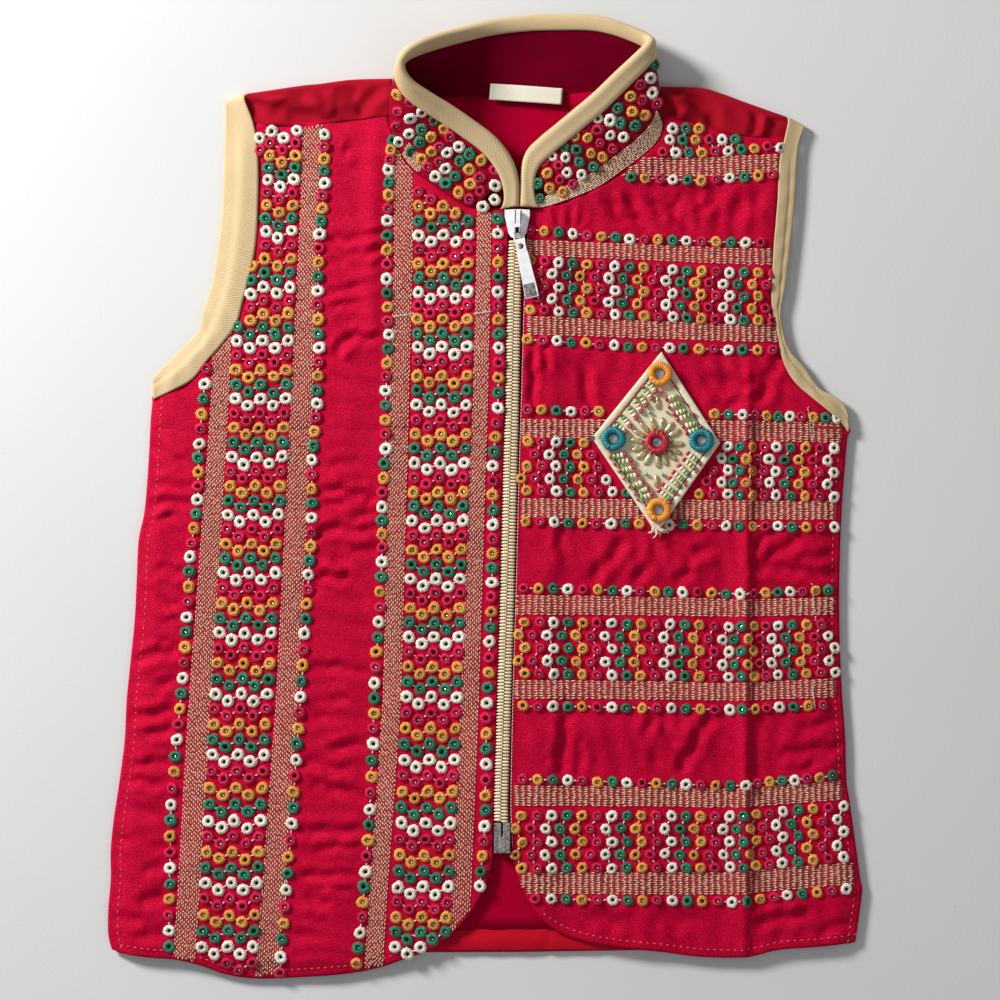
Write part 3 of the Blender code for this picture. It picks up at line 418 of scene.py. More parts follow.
def joined(*runs):
    """Several (line, count) runs as one edge, with a point kept at each corner."""
    parts = [spaced(rounded(line), count + 1) for line, count in runs]
    return np.vstack([part[:-1] for part in parts[:-1]] + [parts[-1]])


def coons(low, high, left, right):
    """A grid of x, y points that fills four edges, row by row from the low edge."""
    u = np.linspace(0.0, 1.0, len(low))[None, :, None]
    v = np.linspace(0.0, 1.0, len(left))[:, None, None]
    ruled = (1 - v) * low[None] + v * high[None] + (1 - u) * left[:, None] + u * right[:, None]
    corners = (1 - v) * ((1 - u) * low[0] + u * low[-1]) + v * ((1 - u) * high[0] + u * high[-1])
    return ruled - corners


def inset_line(line, by):
    """A line moved sideways, to the left of its direction where by is positive."""
    p = np.array(line, float)[:, :2]
    run = np.gradient(p, axis=0)
    run /= np.linalg.norm(run, axis=1)[:, None]
    return p + by * np.stack([-run[:, 1], run[:, 0]], axis=1)


def unit(v):
    """Vectors scaled to a length of one."""
    return v / np.linalg.norm(v, axis=-1, keepdims=True)


def with_height(points, height):
    """A grid of x, y points with their z."""
    return np.dstack([points, height])


def pixel_scale(z):
    """The width of a pixel at a height."""
    return FIELD / 1000 * (CAMERA_UP + FRONT_Z - z) / CAMERA_UP


def at_pixel(px, py, z=FRONT_Z):
    """Where the camera sees a pixel of the 1000 pixel frame, at a height."""
    return CAMERA_X + (px - 500.0) * pixel_scale(z), CAMERA_Y - (py - 500.0) * pixel_scale(z)


# Materials


def node(mat, kind, inputs=None, **settings):
    """A new shader node. An input is a value or another node's output."""
    made = mat.node_tree.nodes.new(kind)
    for key, value in settings.items():
        setattr(made, key, value)
    for key, value in (inputs or {}).items():
        if isinstance(value, bpy.types.NodeSocket):
            mat.node_tree.links.new(value, made.inputs[key])
        else:
            made.inputs[key].default_value = value
    return made


def surface(name, rough=0.6, metal=0.0, coat=0.0, level=0.5, tint=(1.0, 1.0, 1.0)):
    """A new material and its shader."""
    mat = bpy.data.materials.new(name)
    mat.use_nodes = True
    shader = mat.node_tree.nodes["Principled BSDF"]
    shader.inputs["Roughness"].default_value = rough
    shader.inputs["Metallic"].default_value = metal
    shader.inputs["Coat Weight"].default_value = coat
    shader.inputs["Specular IOR Level"].default_value = level
    shader.inputs["Specular Tint"].default_value = (*tint, 1.0)
    return mat, shader


def uv(mat, scale=(1.0, 1.0, 1.0), turn=0.0):
    """The cloth's own millimetres, scaled and turned."""
    source = node(mat, "ShaderNodeUVMap", uv_map="UVMap")
    placed = node(mat, "ShaderNodeMapping", {"Vector": source.outputs["UV"], "Scale": scale,
                                             "Rotation": (0.0, 0.0, math.radians(turn))})
    return placed.outputs["Vector"]


def noise(mat, vector, scale, detail=2.0, rough=0.5):
    """Soft random spots, from 0 to 1."""
    made = node(mat, "ShaderNodeTexNoise", {"Vector": vector, "Scale": scale, "Detail": detail,
                                            "Roughness": rough})
    return made.outputs["Fac"]


def wave(mat, vector, pitch, warp=0.0):
    """Ribs along Y with this pitch in the vector's own units."""
    made = node(mat, "ShaderNodeTexWave", {"Vector": vector, "Scale": 2 * math.pi / 20 / pitch,
                                           "Distortion": warp, "Detail": 1.0, "Detail Scale": 1.0})
    return made.outputs["Fac"]


def levels(mat, value, low, high, to_low=0.0, to_high=1.0):
    """A value stretched from one range to another and held in it."""
    made = node(mat, "ShaderNodeMapRange", {"Value": value, "From Min": low, "From Max": high,
                                            "To Min": to_low, "To Max": to_high}, clamp=True)
    return made.outputs["Result"]


def math_node(mat, operation, a, b=0.0):
    made = node(mat, "ShaderNodeMath", {0: a, 1: b}, operation=operation)
    return made.outputs["Value"]


def total(mat, *terms):
    """The sum of (value, weight) terms."""
    out = None
    for value, weight in terms:
        part = value if weight == 1 else math_node(mat, "MULTIPLY", value, weight)
        out = part if out is None else math_node(mat, "ADD", out, part)
    return out


def mix(mat, factor, a, b):
    made = node(mat, "ShaderNodeMix", data_type="RGBA", blend_type="MIX")
    for index, value in ((0, factor), (6, a), (7, b)):
        if isinstance(value, bpy.types.NodeSocket):
            mat.node_tree.links.new(value, made.inputs[index])
        else:
            made.inputs[index].default_value = (*value, 1.0) if index else value
    return made.outputs[2]


def finish_material(mat, shader, colour, height, relief, rough=None):
    """Colour, bump of this relief in millimetres, and roughness, joined to the shader."""
    links = mat.node_tree.links
    links.new(colour, shader.inputs["Base Color"])
    bump = node(mat, "ShaderNodeBump", {"Height": height, "Distance": relief * MM, "Strength": 1.0})
    links.new(bump.outputs["Normal"], shader.inputs["Normal"])
    if rough is not None:
        links.new(rough, shader.inputs["Roughness"])
    return mat


def silk(name, deep, bright, spark):
    """Plain weave with uneven slubs both ways and fine glints on the raised threads."""
    mat, shader = surface(name, 0.5, level=0.6, tint=RED_SHINE)
    weft = noise(mat, uv(mat, (0.35, 2.6, 1.0)), 1.0, 3.0)
    warp = noise(mat, uv(mat, (2.4, 0.4, 1.0)), 1.0, 3.0)
    slubs = total(mat, (weft, 0.6), (warp, 0.4))
    grain = noise(mat, uv(mat), 1.9, 2.0, 0.6)
    tone = levels(mat, total(mat, (slubs, 1), (grain, 0.5)), 0.56, 0.94)
    glint = total(mat, (levels(mat, grain, 0.62, 0.74), 0.6))
    colour = mix(mat, glint, mix(mat, tone, deep, bright), spark)
    weave = total(mat, (wave(mat, uv(mat), 0.42), 1), (wave(mat, uv(mat, turn=90.0), 0.42), 1))
    height = total(mat, (weave, 0.25), (slubs, 1), (grain, 1))
    return finish_material(mat, shader, colour, height, 0.22, levels(mat, grain, 0.3, 0.75, 0.58, 0.34))


def twill(name, deep, bright, pitch=0.8, turn=45.0, relief=0.1, tint=(1.0, 1.0, 1.0)):
    """A diagonal weave with uneven yarn."""
    mat, shader = surface(name, 0.7, level=0.2, tint=tint)
    rib = wave(mat, uv(mat, turn=turn), pitch, 0.6)
    yarn = noise(mat, uv(mat, (2.0, 2.0, 1.0)), 1.0, 3.0)
    broad = noise(mat, uv(mat), 0.06, 2.0)
    tone = total(mat, (rib, 0.35), (yarn, 0.55), (broad, 0.3))
    colour = mix(mat, levels(mat, tone, 0.3, 0.9), deep, bright)
    height = total(mat, (rib, 1), (yarn, 0.8))
    return finish_material(mat, shader, colour, height, relief, levels(mat, yarn, 0.3, 0.7, 0.62, 0.8))


def thread(name, deep, bright, ribs, rough=0.42, relief=0.16, warp=0.5, metal=0.0, tint=(1.0, 1.0, 1.0)):
    """Wound thread: u counts copies in whole numbers and runs round each one, v runs across it."""
    mat, shader = surface(name, rough, metal=metal, tint=tint)
    source = node(mat, "ShaderNodeUVMap", uv_map="UVMap").outputs["UV"]
    apart = node(mat, "ShaderNodeSeparateXYZ", {"Vector": source})
    which = math_node(mat, "FLOOR", apart.outputs["X"])
    own = node(mat, "ShaderNodeTexWhiteNoise", {"W": which}, noise_dimensions="1D").outputs["Value"]
    # The strands' ribs tint the colour as well as the bump, dark between the strands and light on their tops:
    # painted shade and highlight, over the thread's own uneven tone.
    strand_ribs_and_shade = wave(mat, uv(mat), 1.0 / ribs, warp)
    fray = noise(mat, uv(mat, (ribs * 1.3, 3.0, 1.0)), 1.0, 2.0)
    tone = total(mat, (strand_ribs_and_shade, 0.50), (fray, 0.45), (own, 0.25))
    colour = mix(mat, levels(mat, tone, 0.2, 0.85), deep, bright)
    return finish_material(mat, shader, colour, total(mat, (strand_ribs_and_shade, 1), (fray, 1)), relief)


def metal(name, deep, bright, rough_low, rough_high, scale=0.9, amount=1.0):
    """Worn metal, and the near-black painted shade of holes and grooves. The noise runs in the piece's own
    space, in millimetres.
    """
    mat, shader = surface(name, 0.3, metal=amount)
    place = node(mat, "ShaderNodeTexCoord").outputs["Object"]
    spots = noise(mat, place, scale / MM, 4.0, 0.6)
    fine = noise(mat, place, 6.0 * scale / MM, 2.0)
    colour = mix(mat, levels(mat, spots, 0.35, 0.65), deep, bright)
    rough = levels(mat, spots, 0.3, 0.7, rough_low, rough_high)
    return finish_material(mat, shader, colour, fine, 0.01, rough)


def glass(name, deep, bright):
    """Clouded bead glass with a thin clear coat."""
    mat, shader = surface(name, 0.12, coat=0.3)
    place = node(mat, "ShaderNodeTexCoord").outputs["Object"]
    blot = noise(mat, place, 1500.0, 2.0)
    return finish_material(mat, shader, mix(mat, levels(mat, blot, 0.3, 0.7), deep, bright),
                           noise(mat, place, 5000.0, 2.0), 0.01, levels(mat, blot, 0.3, 0.7, 0.08, 0.25))


RED_SHINE = (1.0, 0.04, 0.14)
SILK = silk("silk_crimson", (0.26, 0.0, 0.014), (0.66, 0.0, 0.036), (1.0, 0.07, 0.17))
# The collar's silk is the fronts' crimson silk made darker: painted shade.
SHADED_COLLAR_SILK = silk("silk_collar_painted_shade", (0.10, 0.0, 0.006), (0.42, 0.0, 0.020), (0.62, 0.02, 0.06))
YOKE_TWILL = twill("twill_red", (0.12, 0.001, 0.006), (0.52, 0.008, 0.024), 0.66, 52.0, 0.10, RED_SHINE)
# The turned-up hem is the back's twill made lighter: painted light.
LIT_HEM_TWILL = twill("twill_hem_painted_light", (0.20, 0.001, 0.008), (0.78, 0.010, 0.030), 0.7, 52.0, 0.10, RED_SHINE)
LINING = twill("lining_red", (0.24, 0.0, 0.012), (0.52, 0.0, 0.030), 0.5, 30.0, 0.05, RED_SHINE)
# The collar's inside is the lining's twill made much darker: painted shade where the collar's stand blocks
# the light.
SHADED_COLLAR_INSIDE = twill("collar_inside_painted_shade", (0.06, 0.0, 0.006), (0.20, 0.0, 0.014), 0.5, 30.0, 0.05, RED_SHINE)
CREAM_TWILL = twill("twill_cream", (0.46, 0.33, 0.17), (0.69, 0.52, 0.295), 0.62, 38.0, 0.07)
LABEL = twill("label_weave", (0.60, 0.54, 0.42), (0.84, 0.79, 0.66), 0.4, 0.0, 0.05)
TAPE = twill("zip_tape", (0.10, 0.001, 0.006), (0.34, 0.006, 0.022), 0.9, 90.0, 0.12, RED_SHINE)
ZARI_BASE = twill("zari_ground", (0.20, 0.008, 0.018), (0.44, 0.055, 0.055), 0.78, 90.0, 0.1, RED_SHINE)
THREADS = {
    "W": thread("thread_white", (0.62, 0.54, 0.40), (1.0, 0.95, 0.83), 17, relief=0.22, warp=3.0),
    "C": thread("thread_crimson", (0.22, 0.0, 0.014), (0.76, 0.003, 0.072), 17, relief=0.22, warp=3.0,
                tint=(1.0, 0.65, 0.70)),
    "O": thread("thread_amber", (0.40, 0.11, 0.006), (0.95, 0.44, 0.060), 17, relief=0.22, warp=3.0),
    "G": thread("thread_green", (0.0, 0.030, 0.014), (0.008, 0.27, 0.13), 17, relief=0.22, warp=3.0),
}
ZARI = thread("thread_zari", (0.50, 0.24, 0.14), (1.0, 0.80, 0.56), 3, 0.36, 0.05, metal=0.15)
WHITE_STITCH = thread("thread_tack", (0.66, 0.54, 0.46), (0.95, 0.90, 0.84), 4)
PINK_STITCH = thread("thread_topstitch", (0.62, 0.10, 0.08), (0.95, 0.34, 0.24), 4)
COIL = thread("zip_coil", (0.54, 0.40, 0.22), (0.92, 0.78, 0.52), 5, 0.42, 0.04)
GLINT = metal("glint", (0.85, 0.85, 0.85), (1.0, 1.0, 0.98), 0.10, 0.25, amount=0.5)
SILVER = metal("zip_metal", (0.82, 0.82, 0.82), (1.0, 1.0, 0.99), 0.14, 0.28, 0.5, 0.2)
PEWTER = metal("pewter", (0.16, 0.15, 0.135), (0.52, 0.50, 0.46), 0.28, 0.5, amount=0.7)
MIRROR = metal("mirror", (0.22, 0.24, 0.28), (0.60, 0.62, 0.66), 0.05, 0.2, 0.5, amount=0.6)
PETAL = metal("petal_gold", (0.38, 0.29, 0.12), (0.78, 0.66, 0.38), 0.22, 0.4, amount=0.6)
PATCH_CLOTH = twill("patch_cream", (0.60, 0.52, 0.34), (0.90, 0.83, 0.62), 0.36, 45.0, 0.06)
CREAM_THREAD = thread("thread_cream", (0.62, 0.55, 0.38), (0.94, 0.88, 0.72), 5)
ORANGE = thread("patch_orange", (0.62, 0.12, 0.004), (1.0, 0.40, 0.03), 30, relief=0.2)
TEAL = thread("patch_teal", (0.0, 0.05, 0.07), (0.006, 0.26, 0.31), 30, relief=0.2)
RED = thread("patch_red", (0.20, 0.003, 0.010), (0.66, 0.014, 0.04), 30, relief=0.2)
# Near-black for holes and grooves: painted shade, not a colour of the thing.
HOLE_SHADE = metal("painted_hole_shade", (0.010, 0.004, 0.005), (0.05, 0.012, 0.016), 0.3, 0.6)
GLASS = {
    "red": glass("bead_red", (0.36, 0.006, 0.006), (0.72, 0.04, 0.03)),
    "white": glass("bead_white", (0.78, 0.66, 0.60), (0.94, 0.90, 0.86)),
    "yellow": glass("bead_yellow", (0.72, 0.52, 0.12), (0.92, 0.76, 0.34)),
    "green": glass("bead_green", (0.08, 0.28, 0.09), (0.26, 0.55, 0.27)),
}


# Meshes


def mesh_piece(name, verts, faces, corner_uv, mats, body="garment"):
    """A smooth piece from points in millimetres, which rides on a body."""
    mesh = bpy.data.meshes.new(name)
    mesh.from_pydata((np.asarray(verts) * MM).tolist(), [], np.asarray(faces).tolist())
    layer = mesh.uv_layers.new(name="UVMap")
    layer.data.foreach_set("uv", np.asarray(corner_uv, float).ravel())
    mesh.shade_smooth()
    for mat in mats:
        mesh.materials.append(mat)
    obj = bpy.data.objects.new(name, mesh)
    bpy.context.scene.collection.objects.link(obj)
    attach(obj, body)
    return obj


def grid_faces(rows, cols, closed=False):
    """Quads of a grid of points, row by row. A closed one joins its last column to its first."""
    i = np.arange(rows - 1)[:, None]
    j = np.arange(cols if closed else cols - 1)[None, :]
    a, b = i * cols + j, i * cols + (j + 1) % cols
    return np.stack([a, b, b + cols, a + cols], axis=-1).reshape(-1, 4)


def run_uv(grid):
    """Millimetres along and across a grid, measured on its middle lines."""
    middles = grid[len(grid) // 2], grid[:, grid.shape[1] // 2]
    u, v = (np.append(0.0, np.cumsum(np.linalg.norm(np.diff(line, axis=0), axis=1))) for line in middles)
    return np.dstack(np.meshgrid(u, v))


def grid_piece(name, grid, flat_uv, mats, closed=False, flipped=False, body="garment"):
    """One mesh from a grid of points, with a UV for each point."""
    faces = grid_faces(*grid.shape[:2], closed)
    faces = faces[:, ::-1] if flipped else faces
    corner = flat_uv.reshape(-1, 2)[faces.ravel()]
    return mesh_piece(name, grid.reshape(-1, 3), faces, corner, mats, body)


def cloth(name, grid, mats, thick=WALL, own_uv=False):
    """A thin cloth wall behind the outer face that the grid describes."""
    obj = grid_piece(name, grid, run_uv(grid) if own_uv else grid[..., :2], mats)
    wall = obj.modifiers.new("wall", "SOLIDIFY")
    wall.thickness = thick * MM
    wall.offset = -1.0
    return obj


def front(side, centre, neck, outer, arm, hem, seam, count):
    """One front, filled between its four edges. side is the wearer's."""
    inner_edge = joined((centre[::-1], 200), (neck, 56))
    outer_edge = joined((outer, 164), (arm, 92))
    left, right = (outer_edge, inner_edge) if side == "right" else (inner_edge, outer_edge)
    low, high = joined((hem, count)), joined((np.array(seam) + (0.0, 1.2), count))
    left[-1], right[-1], left[0], right[0] = high[0], high[-1], low[0], low[-1]
    flat = coons(low, high, left, right)
    grid = with_height(flat, top(flat[..., 0], flat[..., 1]))
    made = cloth("cloth_front_" + side, grid, [SILK])
    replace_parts(made, "front_wearer_" + side)


def fronts():
    """The two fronts. Each neck edge and armhole edge runs on under what covers it."""
    neck = inset_line(COLLAR_SEAM[:9], -0.6)[1:8]
    arm = inset_line(ARM_IN_R[:-2] + [(-91.2, 149.4)], 1.6)
    front("right", CF_R, np.vstack([[9.2, 114.6], neck, [-38.6, 153.4]]), SIDE_R, arm, HEM_R, SEAM_R, 120)
    neck = inset_line(COLLAR_SEAM[22:][::-1], 0.6)[1:-1]
    arm = inset_line(ARM_IN_L[:-2] + [(119.0, 144.0)], -1.6)
    front("left", CF_L, np.vstack([[17.6, 114.6], neck, [71.4, 152.6]]), SIDE_L, arm, HEM_L, SEAM_L, 112)


def half_turn(x, crest, radius, turns):
    """Rows of points that bend round a fold at y = crest, one row for each turn in degrees."""
    a = np.radians(turns)[:, None]
    return np.stack([x + 0 * a, crest + radius * np.cos(a), radius * (1 + np.sin(a))], axis=-1)


def shoulder(join, fold, seam, count):
    """The back's cloth going up one shoulder, over the fold and down the front to the yoke seam."""
    join, fold, seam = spaced(join, count), spaced(rounded(fold), count), spaced(rounded(seam), count)
    radius = front_top(fold[:, 0], fold[:, 1] - 2.5) / 2
    crest = fold[:, 1] - radius
    t = np.linspace(0.0, 1.0, 5)[:-1, None]
    x = join[:, 0] + (fold[:, 0] - join[:, 0]) * t
    under = np.stack([x, join[:, 1] + (crest - join[:, 1]) * t, 0 * x], axis=-1)
    t = np.linspace(0.0, 1.0, 19)[1:, None]
    x, y = fold[:, 0] + (seam[:, 0] - fold[:, 0]) * t, crest + (seam[:, 1] - crest) * t
    settle = smooth(t * 1.5)
    z = front_top(x, y) * settle + 2 * radius * (1 - settle) + 0.25 * np.sin(math.pi * t)
    z = z + 1.4 * creases(x, y, YOKE_CREASES) * smooth(t * 5.0) * smooth((1.06 - t) * 5.0)
    over = np.stack([x, y, z], axis=-1)
    return np.vstack([under, half_turn(fold[:, 0], crest, radius, np.linspace(-90.0, 90.0, 13)), over])


def back():
    """The back, cut in one with both yokes. Its outer face lies on the floor."""
    join_r, join_neck, join_l = joined((JOIN_R, 26)), joined((JOIN_NECK, 46)), joined((JOIN_L, 26))
    high = np.vstack([join_r[:-1], join_neck[:-1], join_l])
    low = spaced(BACK_HEM, len(high))
    left = joined((inset_line(SIDE_R, -1.0), 62), (inset_line(ARM_IN_R[:-1], -0.6), 38))
    right = joined((inset_line(SIDE_L, 1.0), 62), (inset_line(ARM_IN_L[:-1], 0.6), 38))
    left[0], right[0], left[-1], right[-1] = low[0], low[-1], high[0], high[-1]
    main = coons(low, high, left, right)
    x, y = main[..., 0], main[..., 1]
    edge = np.minimum(np.minimum(x - x[:, :1], x[:, -1:] - x), np.minimum(y - y[:1], y[-1:] - y))
    soft = 0.22 + 0.12 * np.sin(x * 0.12 + 2.0 * np.sin(y * 0.05)) + 0.10 * np.sin(y * 0.21 + x * 0.04)
    rise = np.clip(soft + folds(x, y, BACK_FOLDS), 0.0, 1.0) * smooth((edge - 2.0) / 16.0)
    panel = cloth("cloth_back", with_height(main, rise)[:, ::-1], [YOKE_TWILL])
    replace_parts(panel, "back_panel")
    count = 60
    for name, join, fold, seam, end in (("right", join_r, FOLD_R, SEAM_R, 1),
                                        ("left", join_l, FOLD_L, SEAM_L, -1)):
        grid = shoulder(join, fold, seam, count)
        # Each end runs on a little: one under the collar, the other down under the binding.
        near = np.linspace(0.0, 1.0, count)[::end]
        late = smooth((np.arange(len(grid)) - 12.0) / 6.0)[:, None]
        grid[..., 0] += 2.2 * end * (smooth((near - 0.8) / 0.2) - late * smooth((0.15 - near) / 0.15))
        grid[..., 2] -= 1.3 * late * smooth((0.12 - near) / 0.10)
        cloth("cloth_yoke_" + name, grid[:, ::-1], [YOKE_TWILL], 0.6)


# The back's hem, then its shallow folds up from the floor: start x, y, end x, y, half width, height.
BACK_HEM = [(-148.0, -182.2), (-60.0, -182.6), (14.0, -182.4), (80.0, -181.4), (147.0, -179.0)]
BACK_FOLDS = [
    (-100.0, 120.0, -60.0, -60.0, 4.0, 0.5), (-20.0, 150.0, -30.0, 20.0, 5.0, 0.5),
    (40.0, 150.0, 60.0, 30.0, 4.0, 0.5), (100.0, 100.0, 70.0, -120.0, 5.0, 0.5),
    (-120.0, -20.0, -70.0, -40.0, 3.5, 0.4), (-128.0, -90.0, -40.0, -110.0, 4.0, 0.4),
    (20.0, -60.0, 120.0, -70.0, 4.0, 0.4), (-40.0, -140.0, -30.0, -60.0, 5.0, 0.4),
    (126.0, 10.0, 60.0, -20.0, 3.5, 0.4), (60.0, -150.0, 120.0, -146.0, 4.0, 0.4),
]


# The lining's sides and armholes from the hem up, and its top edge from the wearer's right.
LINING_SIDE_R = [(-139.0, -172.9), (-137.0, -110.0), (-131.0, -40.0), (-123.0, 34.0)]
LINING_ARM_R = [(-123.0, 34.0), (-108.0, 46.0), (-94.0, 64.0), (-84.0, 86.0), (-81.5, 142.0)]
LINING_SIDE_L = [(138.0, -172.9), (133.0, -110.0), (131.0, -40.0), (133.0, 22.0)]
LINING_ARM_L = [(133.0, 22.0), (118.0, 38.0), (108.0, 56.0), (105.0, 80.0), (108.0, 138.0)]
LINING_TOP = [
    (-81.5, 142.0), (-60.0, 152.0), (-42.0, 157.5), (-33.7, 160.0), (-26.1, 159.6), (-16.1, 158.8),
    (-2.0, 158.4), (14.0, 158.8), (30.1, 159.6), (44.1, 161.0), (53.3, 161.8), (61.3, 160.6),
    (75.0, 154.0), (92.0, 147.0), (108.0, 138.0),
]


def lining():
    """The lining inside the back, and the back's hem turned up over its lower edge."""
    left = joined((LINING_SIDE_R, 40), (LINING_ARM_R, 30))
    right = joined((LINING_SIDE_L, 40), (LINING_ARM_L, 30))
    high = joined((LINING_TOP[:3], 20), (LINING_TOP[2:13], 60), (LINING_TOP[12:], 20))
    low = spaced([LINING_SIDE_R[0], LINING_SIDE_L[0]], len(high))
    grid = coons(low, high, left, right)
    x, y = grid[..., 0], grid[..., 1]
    z = LINING_Z - 0.15 + 0.15 * np.sin(x * 0.2 + y * 0.07) * np.sin(y * 0.13)
    grid[..., 1] += 1.8 * smooth((y - 150.0) / 8.0)
    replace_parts(cloth("cloth_lining", with_height(grid, z), [LINING]), "back_lining")

    x, t = np.linspace(-141.0, 140.0, 190), np.linspace(0.0, 1.0, 12)[:, None]
    low_y = np.interp(x, [-141.0, 14.0, 80.0, 140.0], [-181.4, -181.8, -180.8, -178.8])
    crease = 0.5 * np.exp(-(((x - 24.0 - 3.0 * t) / 1.2) ** 2))
    z = 2.15 + 0.55 * np.sin(math.pi * np.minimum(1.0, t * 1.15)) - crease + 0.12 * np.sin(x * 0.5 + 2 * t)
    rows = np.stack([x + 0 * t, low_y + (-173.1 - low_y) * t, z], axis=-1)
    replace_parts(cloth("cloth_hem_turnup", rows, [LIT_HEM_TWILL]), "back_hem_turnup")


def armhole(name, outer, inner, side, node_name):
    """A binding strip from the front's underarm over the shoulder to the back's underarm."""
    rows, wide = 150, 15
    out = spaced(rounded(outer), rows)
    inn = spaced(rounded(inset_line(inner, -0.3 * side)), rows)
    t = np.linspace(0.0, 1.0, wide)
    front = out[:, None] + (inn - out)[:, None] * t[None, :, None]
    pad = 0.35 * np.sin(math.pi * t) - 0.32 * np.exp(-(((t - 0.34) / 0.09) ** 2))
    run = np.arange(rows)[:, None]
    ripple = 0.10 * np.sin(run * 0.55 + 3.0 * t) * np.sin(math.pi * t)
    radius = (front_top(front[-1, :, 0], front[-1, :, 1]) + 0.45) / 2
    crest = front[-1, :, 1] - radius
    late = smooth((run / (rows - 1) - 0.8) / 0.2)
    front[..., 1] -= radius * late
    level = front_top(front[..., 0], front[..., 1]) + 0.45 + pad * (1 - late) + ripple
    level = level * (1 - late) + 2 * radius * late
    bend = half_turn(front[-1, :, 0], crest, radius, np.linspace(90.0, -90.0, 11)[1:-1])
    under = spaced(rounded(inset_line(outer, 1.0 * side)), rows)
    behind = under[:, None] + (inn - under)[:, None] * t[None, :, None]
    behind += (front[-1] - behind[-1]) * late[..., None]
    low = with_height(behind, np.zeros(behind.shape[:2]))[::-1]
    grid = np.vstack([with_height(front, level), bend, low])
    made = cloth(name, grid if side < 0 else grid[:, ::-1], [CREAM_TWILL], 0.7, True)
    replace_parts(made, node_name)


def collar_rows():
    """Seam and free edge of the collar, smoothed, as rows of x, y, z."""
    seam = np.array([[a, b, float(front_top(a, b)) if c is None else c] for a, b, c, *_ in COLLAR])
    edge = np.array([row[3:] for row in COLLAR])
    steps = rounded(np.hstack([seam, edge]), 8)
    return steps[:, :3], steps[:, 3:]


def collar_face():
    """The collar's outer face from seam to edge, with the way out of the cloth at each point."""
    seam, edge = collar_rows()
    tall = unit(edge - seam)
    t = np.linspace(0.0, 1.0, 25)[:, None, None]
    grid = seam[None] + (edge - tall * COLLAR_SHORT - seam)[None] * t
    out = unit(np.cross(tall, np.gradient(edge, axis=0)))
    s = np.arange(len(seam))
    swell = 0.35 * np.sin(math.pi * t[..., 0]) + 0.12 * np.sin(s * 0.35 + 4.0 * t[..., 0])
    swell = swell * np.sin(math.pi * np.clip(t[..., 0], 0.02, 0.98))
    return grid + out[None] * swell[..., None], out


# The collar binding's section: height over the free edge, and distance out from the collar's middle.
BINDING_PROFILE = [
    (-7.3, 0.25), (-7.2, 0.85), (-6.6, 1.15), (-5.2, 1.1), (-3.6, 0.95), (-2.0, 1.15), (-0.7, 1.1),
    (0.1, 0.5), (0.35, -0.5), (0.0, -1.5), (-1.0, -2.0), (-3.0, -2.0), (-5.0, -1.9), (-5.6, -1.5),
]


def collar():
    """The stand collar, its binding and the tacks that close the binding's ends."""
    grid, out = collar_face()
    inner = slice(14, -14)
    made = cloth("cloth_collar", grid[:, inner][:, ::-1], [SHADED_COLLAR_SILK, SHADED_COLLAR_INSIDE],
                 1.3, True)
    made.modifiers["wall"].material_offset = 1
    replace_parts(made, "collar")

    seam, edge = collar_rows()
    tall = unit(edge - seam)
    strip = np.array([edge + tall * height + out * off for height, off in BINDING_PROFILE])
    binding = cloth("cloth_collar_binding", strip, [CREAM_TWILL], 0.3, True)
    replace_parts(binding, "collar_binding")
    spots = [(row, k) for k in (2, -3) for row in range(1, 7)]
    point, normal, run = (np.array([a[row, k] for row, k in spots])
                          for a in (strip, strip * 0 + out, strip * 0 + tall))
    copies("collar_tacks", GRAIN, point + normal * 0.12,
           (run * 0.8, np.cross(normal, run) * 0.28, normal * 0.3), PINK_STITCH)


def label():
    """The blank woven label, held at the back neck and standing a little off the cloth."""
    wide, tall, turn = 29.0, 6.6, math.radians(-4.0)
    u, v = np.meshgrid(np.linspace(-0.5, 0.5, 33), np.linspace(-0.5, 0.5, 9))
    x = 16.4 + u * wide * math.cos(turn) - v * tall * math.sin(turn)
    y = 161.4 + u * wide * math.sin(turn) + v * tall * math.cos(turn)
    z = 4.5 - 0.9 * v + 0.4 * np.cos(math.pi * u) + 0.12 * np.sin(9.0 * u + 3.0 * v)
    made = cloth("cloth_label", np.stack([x, y, z], axis=-1), [LABEL], 0.3, True)
    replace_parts(made, "neck_label")


def tapes():
    """The zip's two woven tapes."""
    y = np.linspace(112.0, -141.0, 120)[:, None]
    for name, near, far in (("right", -12.0, -0.2), ("left", 0.2, 12.0)):
        off = np.linspace(near, far, 9)
        z = TAPE_Z - 0.05 + 0.05 * np.sin(y + off)
        grid = np.stack([across(y, ZIP) + off, y + 0 * off, z], axis=-1)
        tape = cloth("cloth_zip_tape_" + name, grid[:, ::-1], [TAPE])
        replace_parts(tape, "zip_tape_" + name)


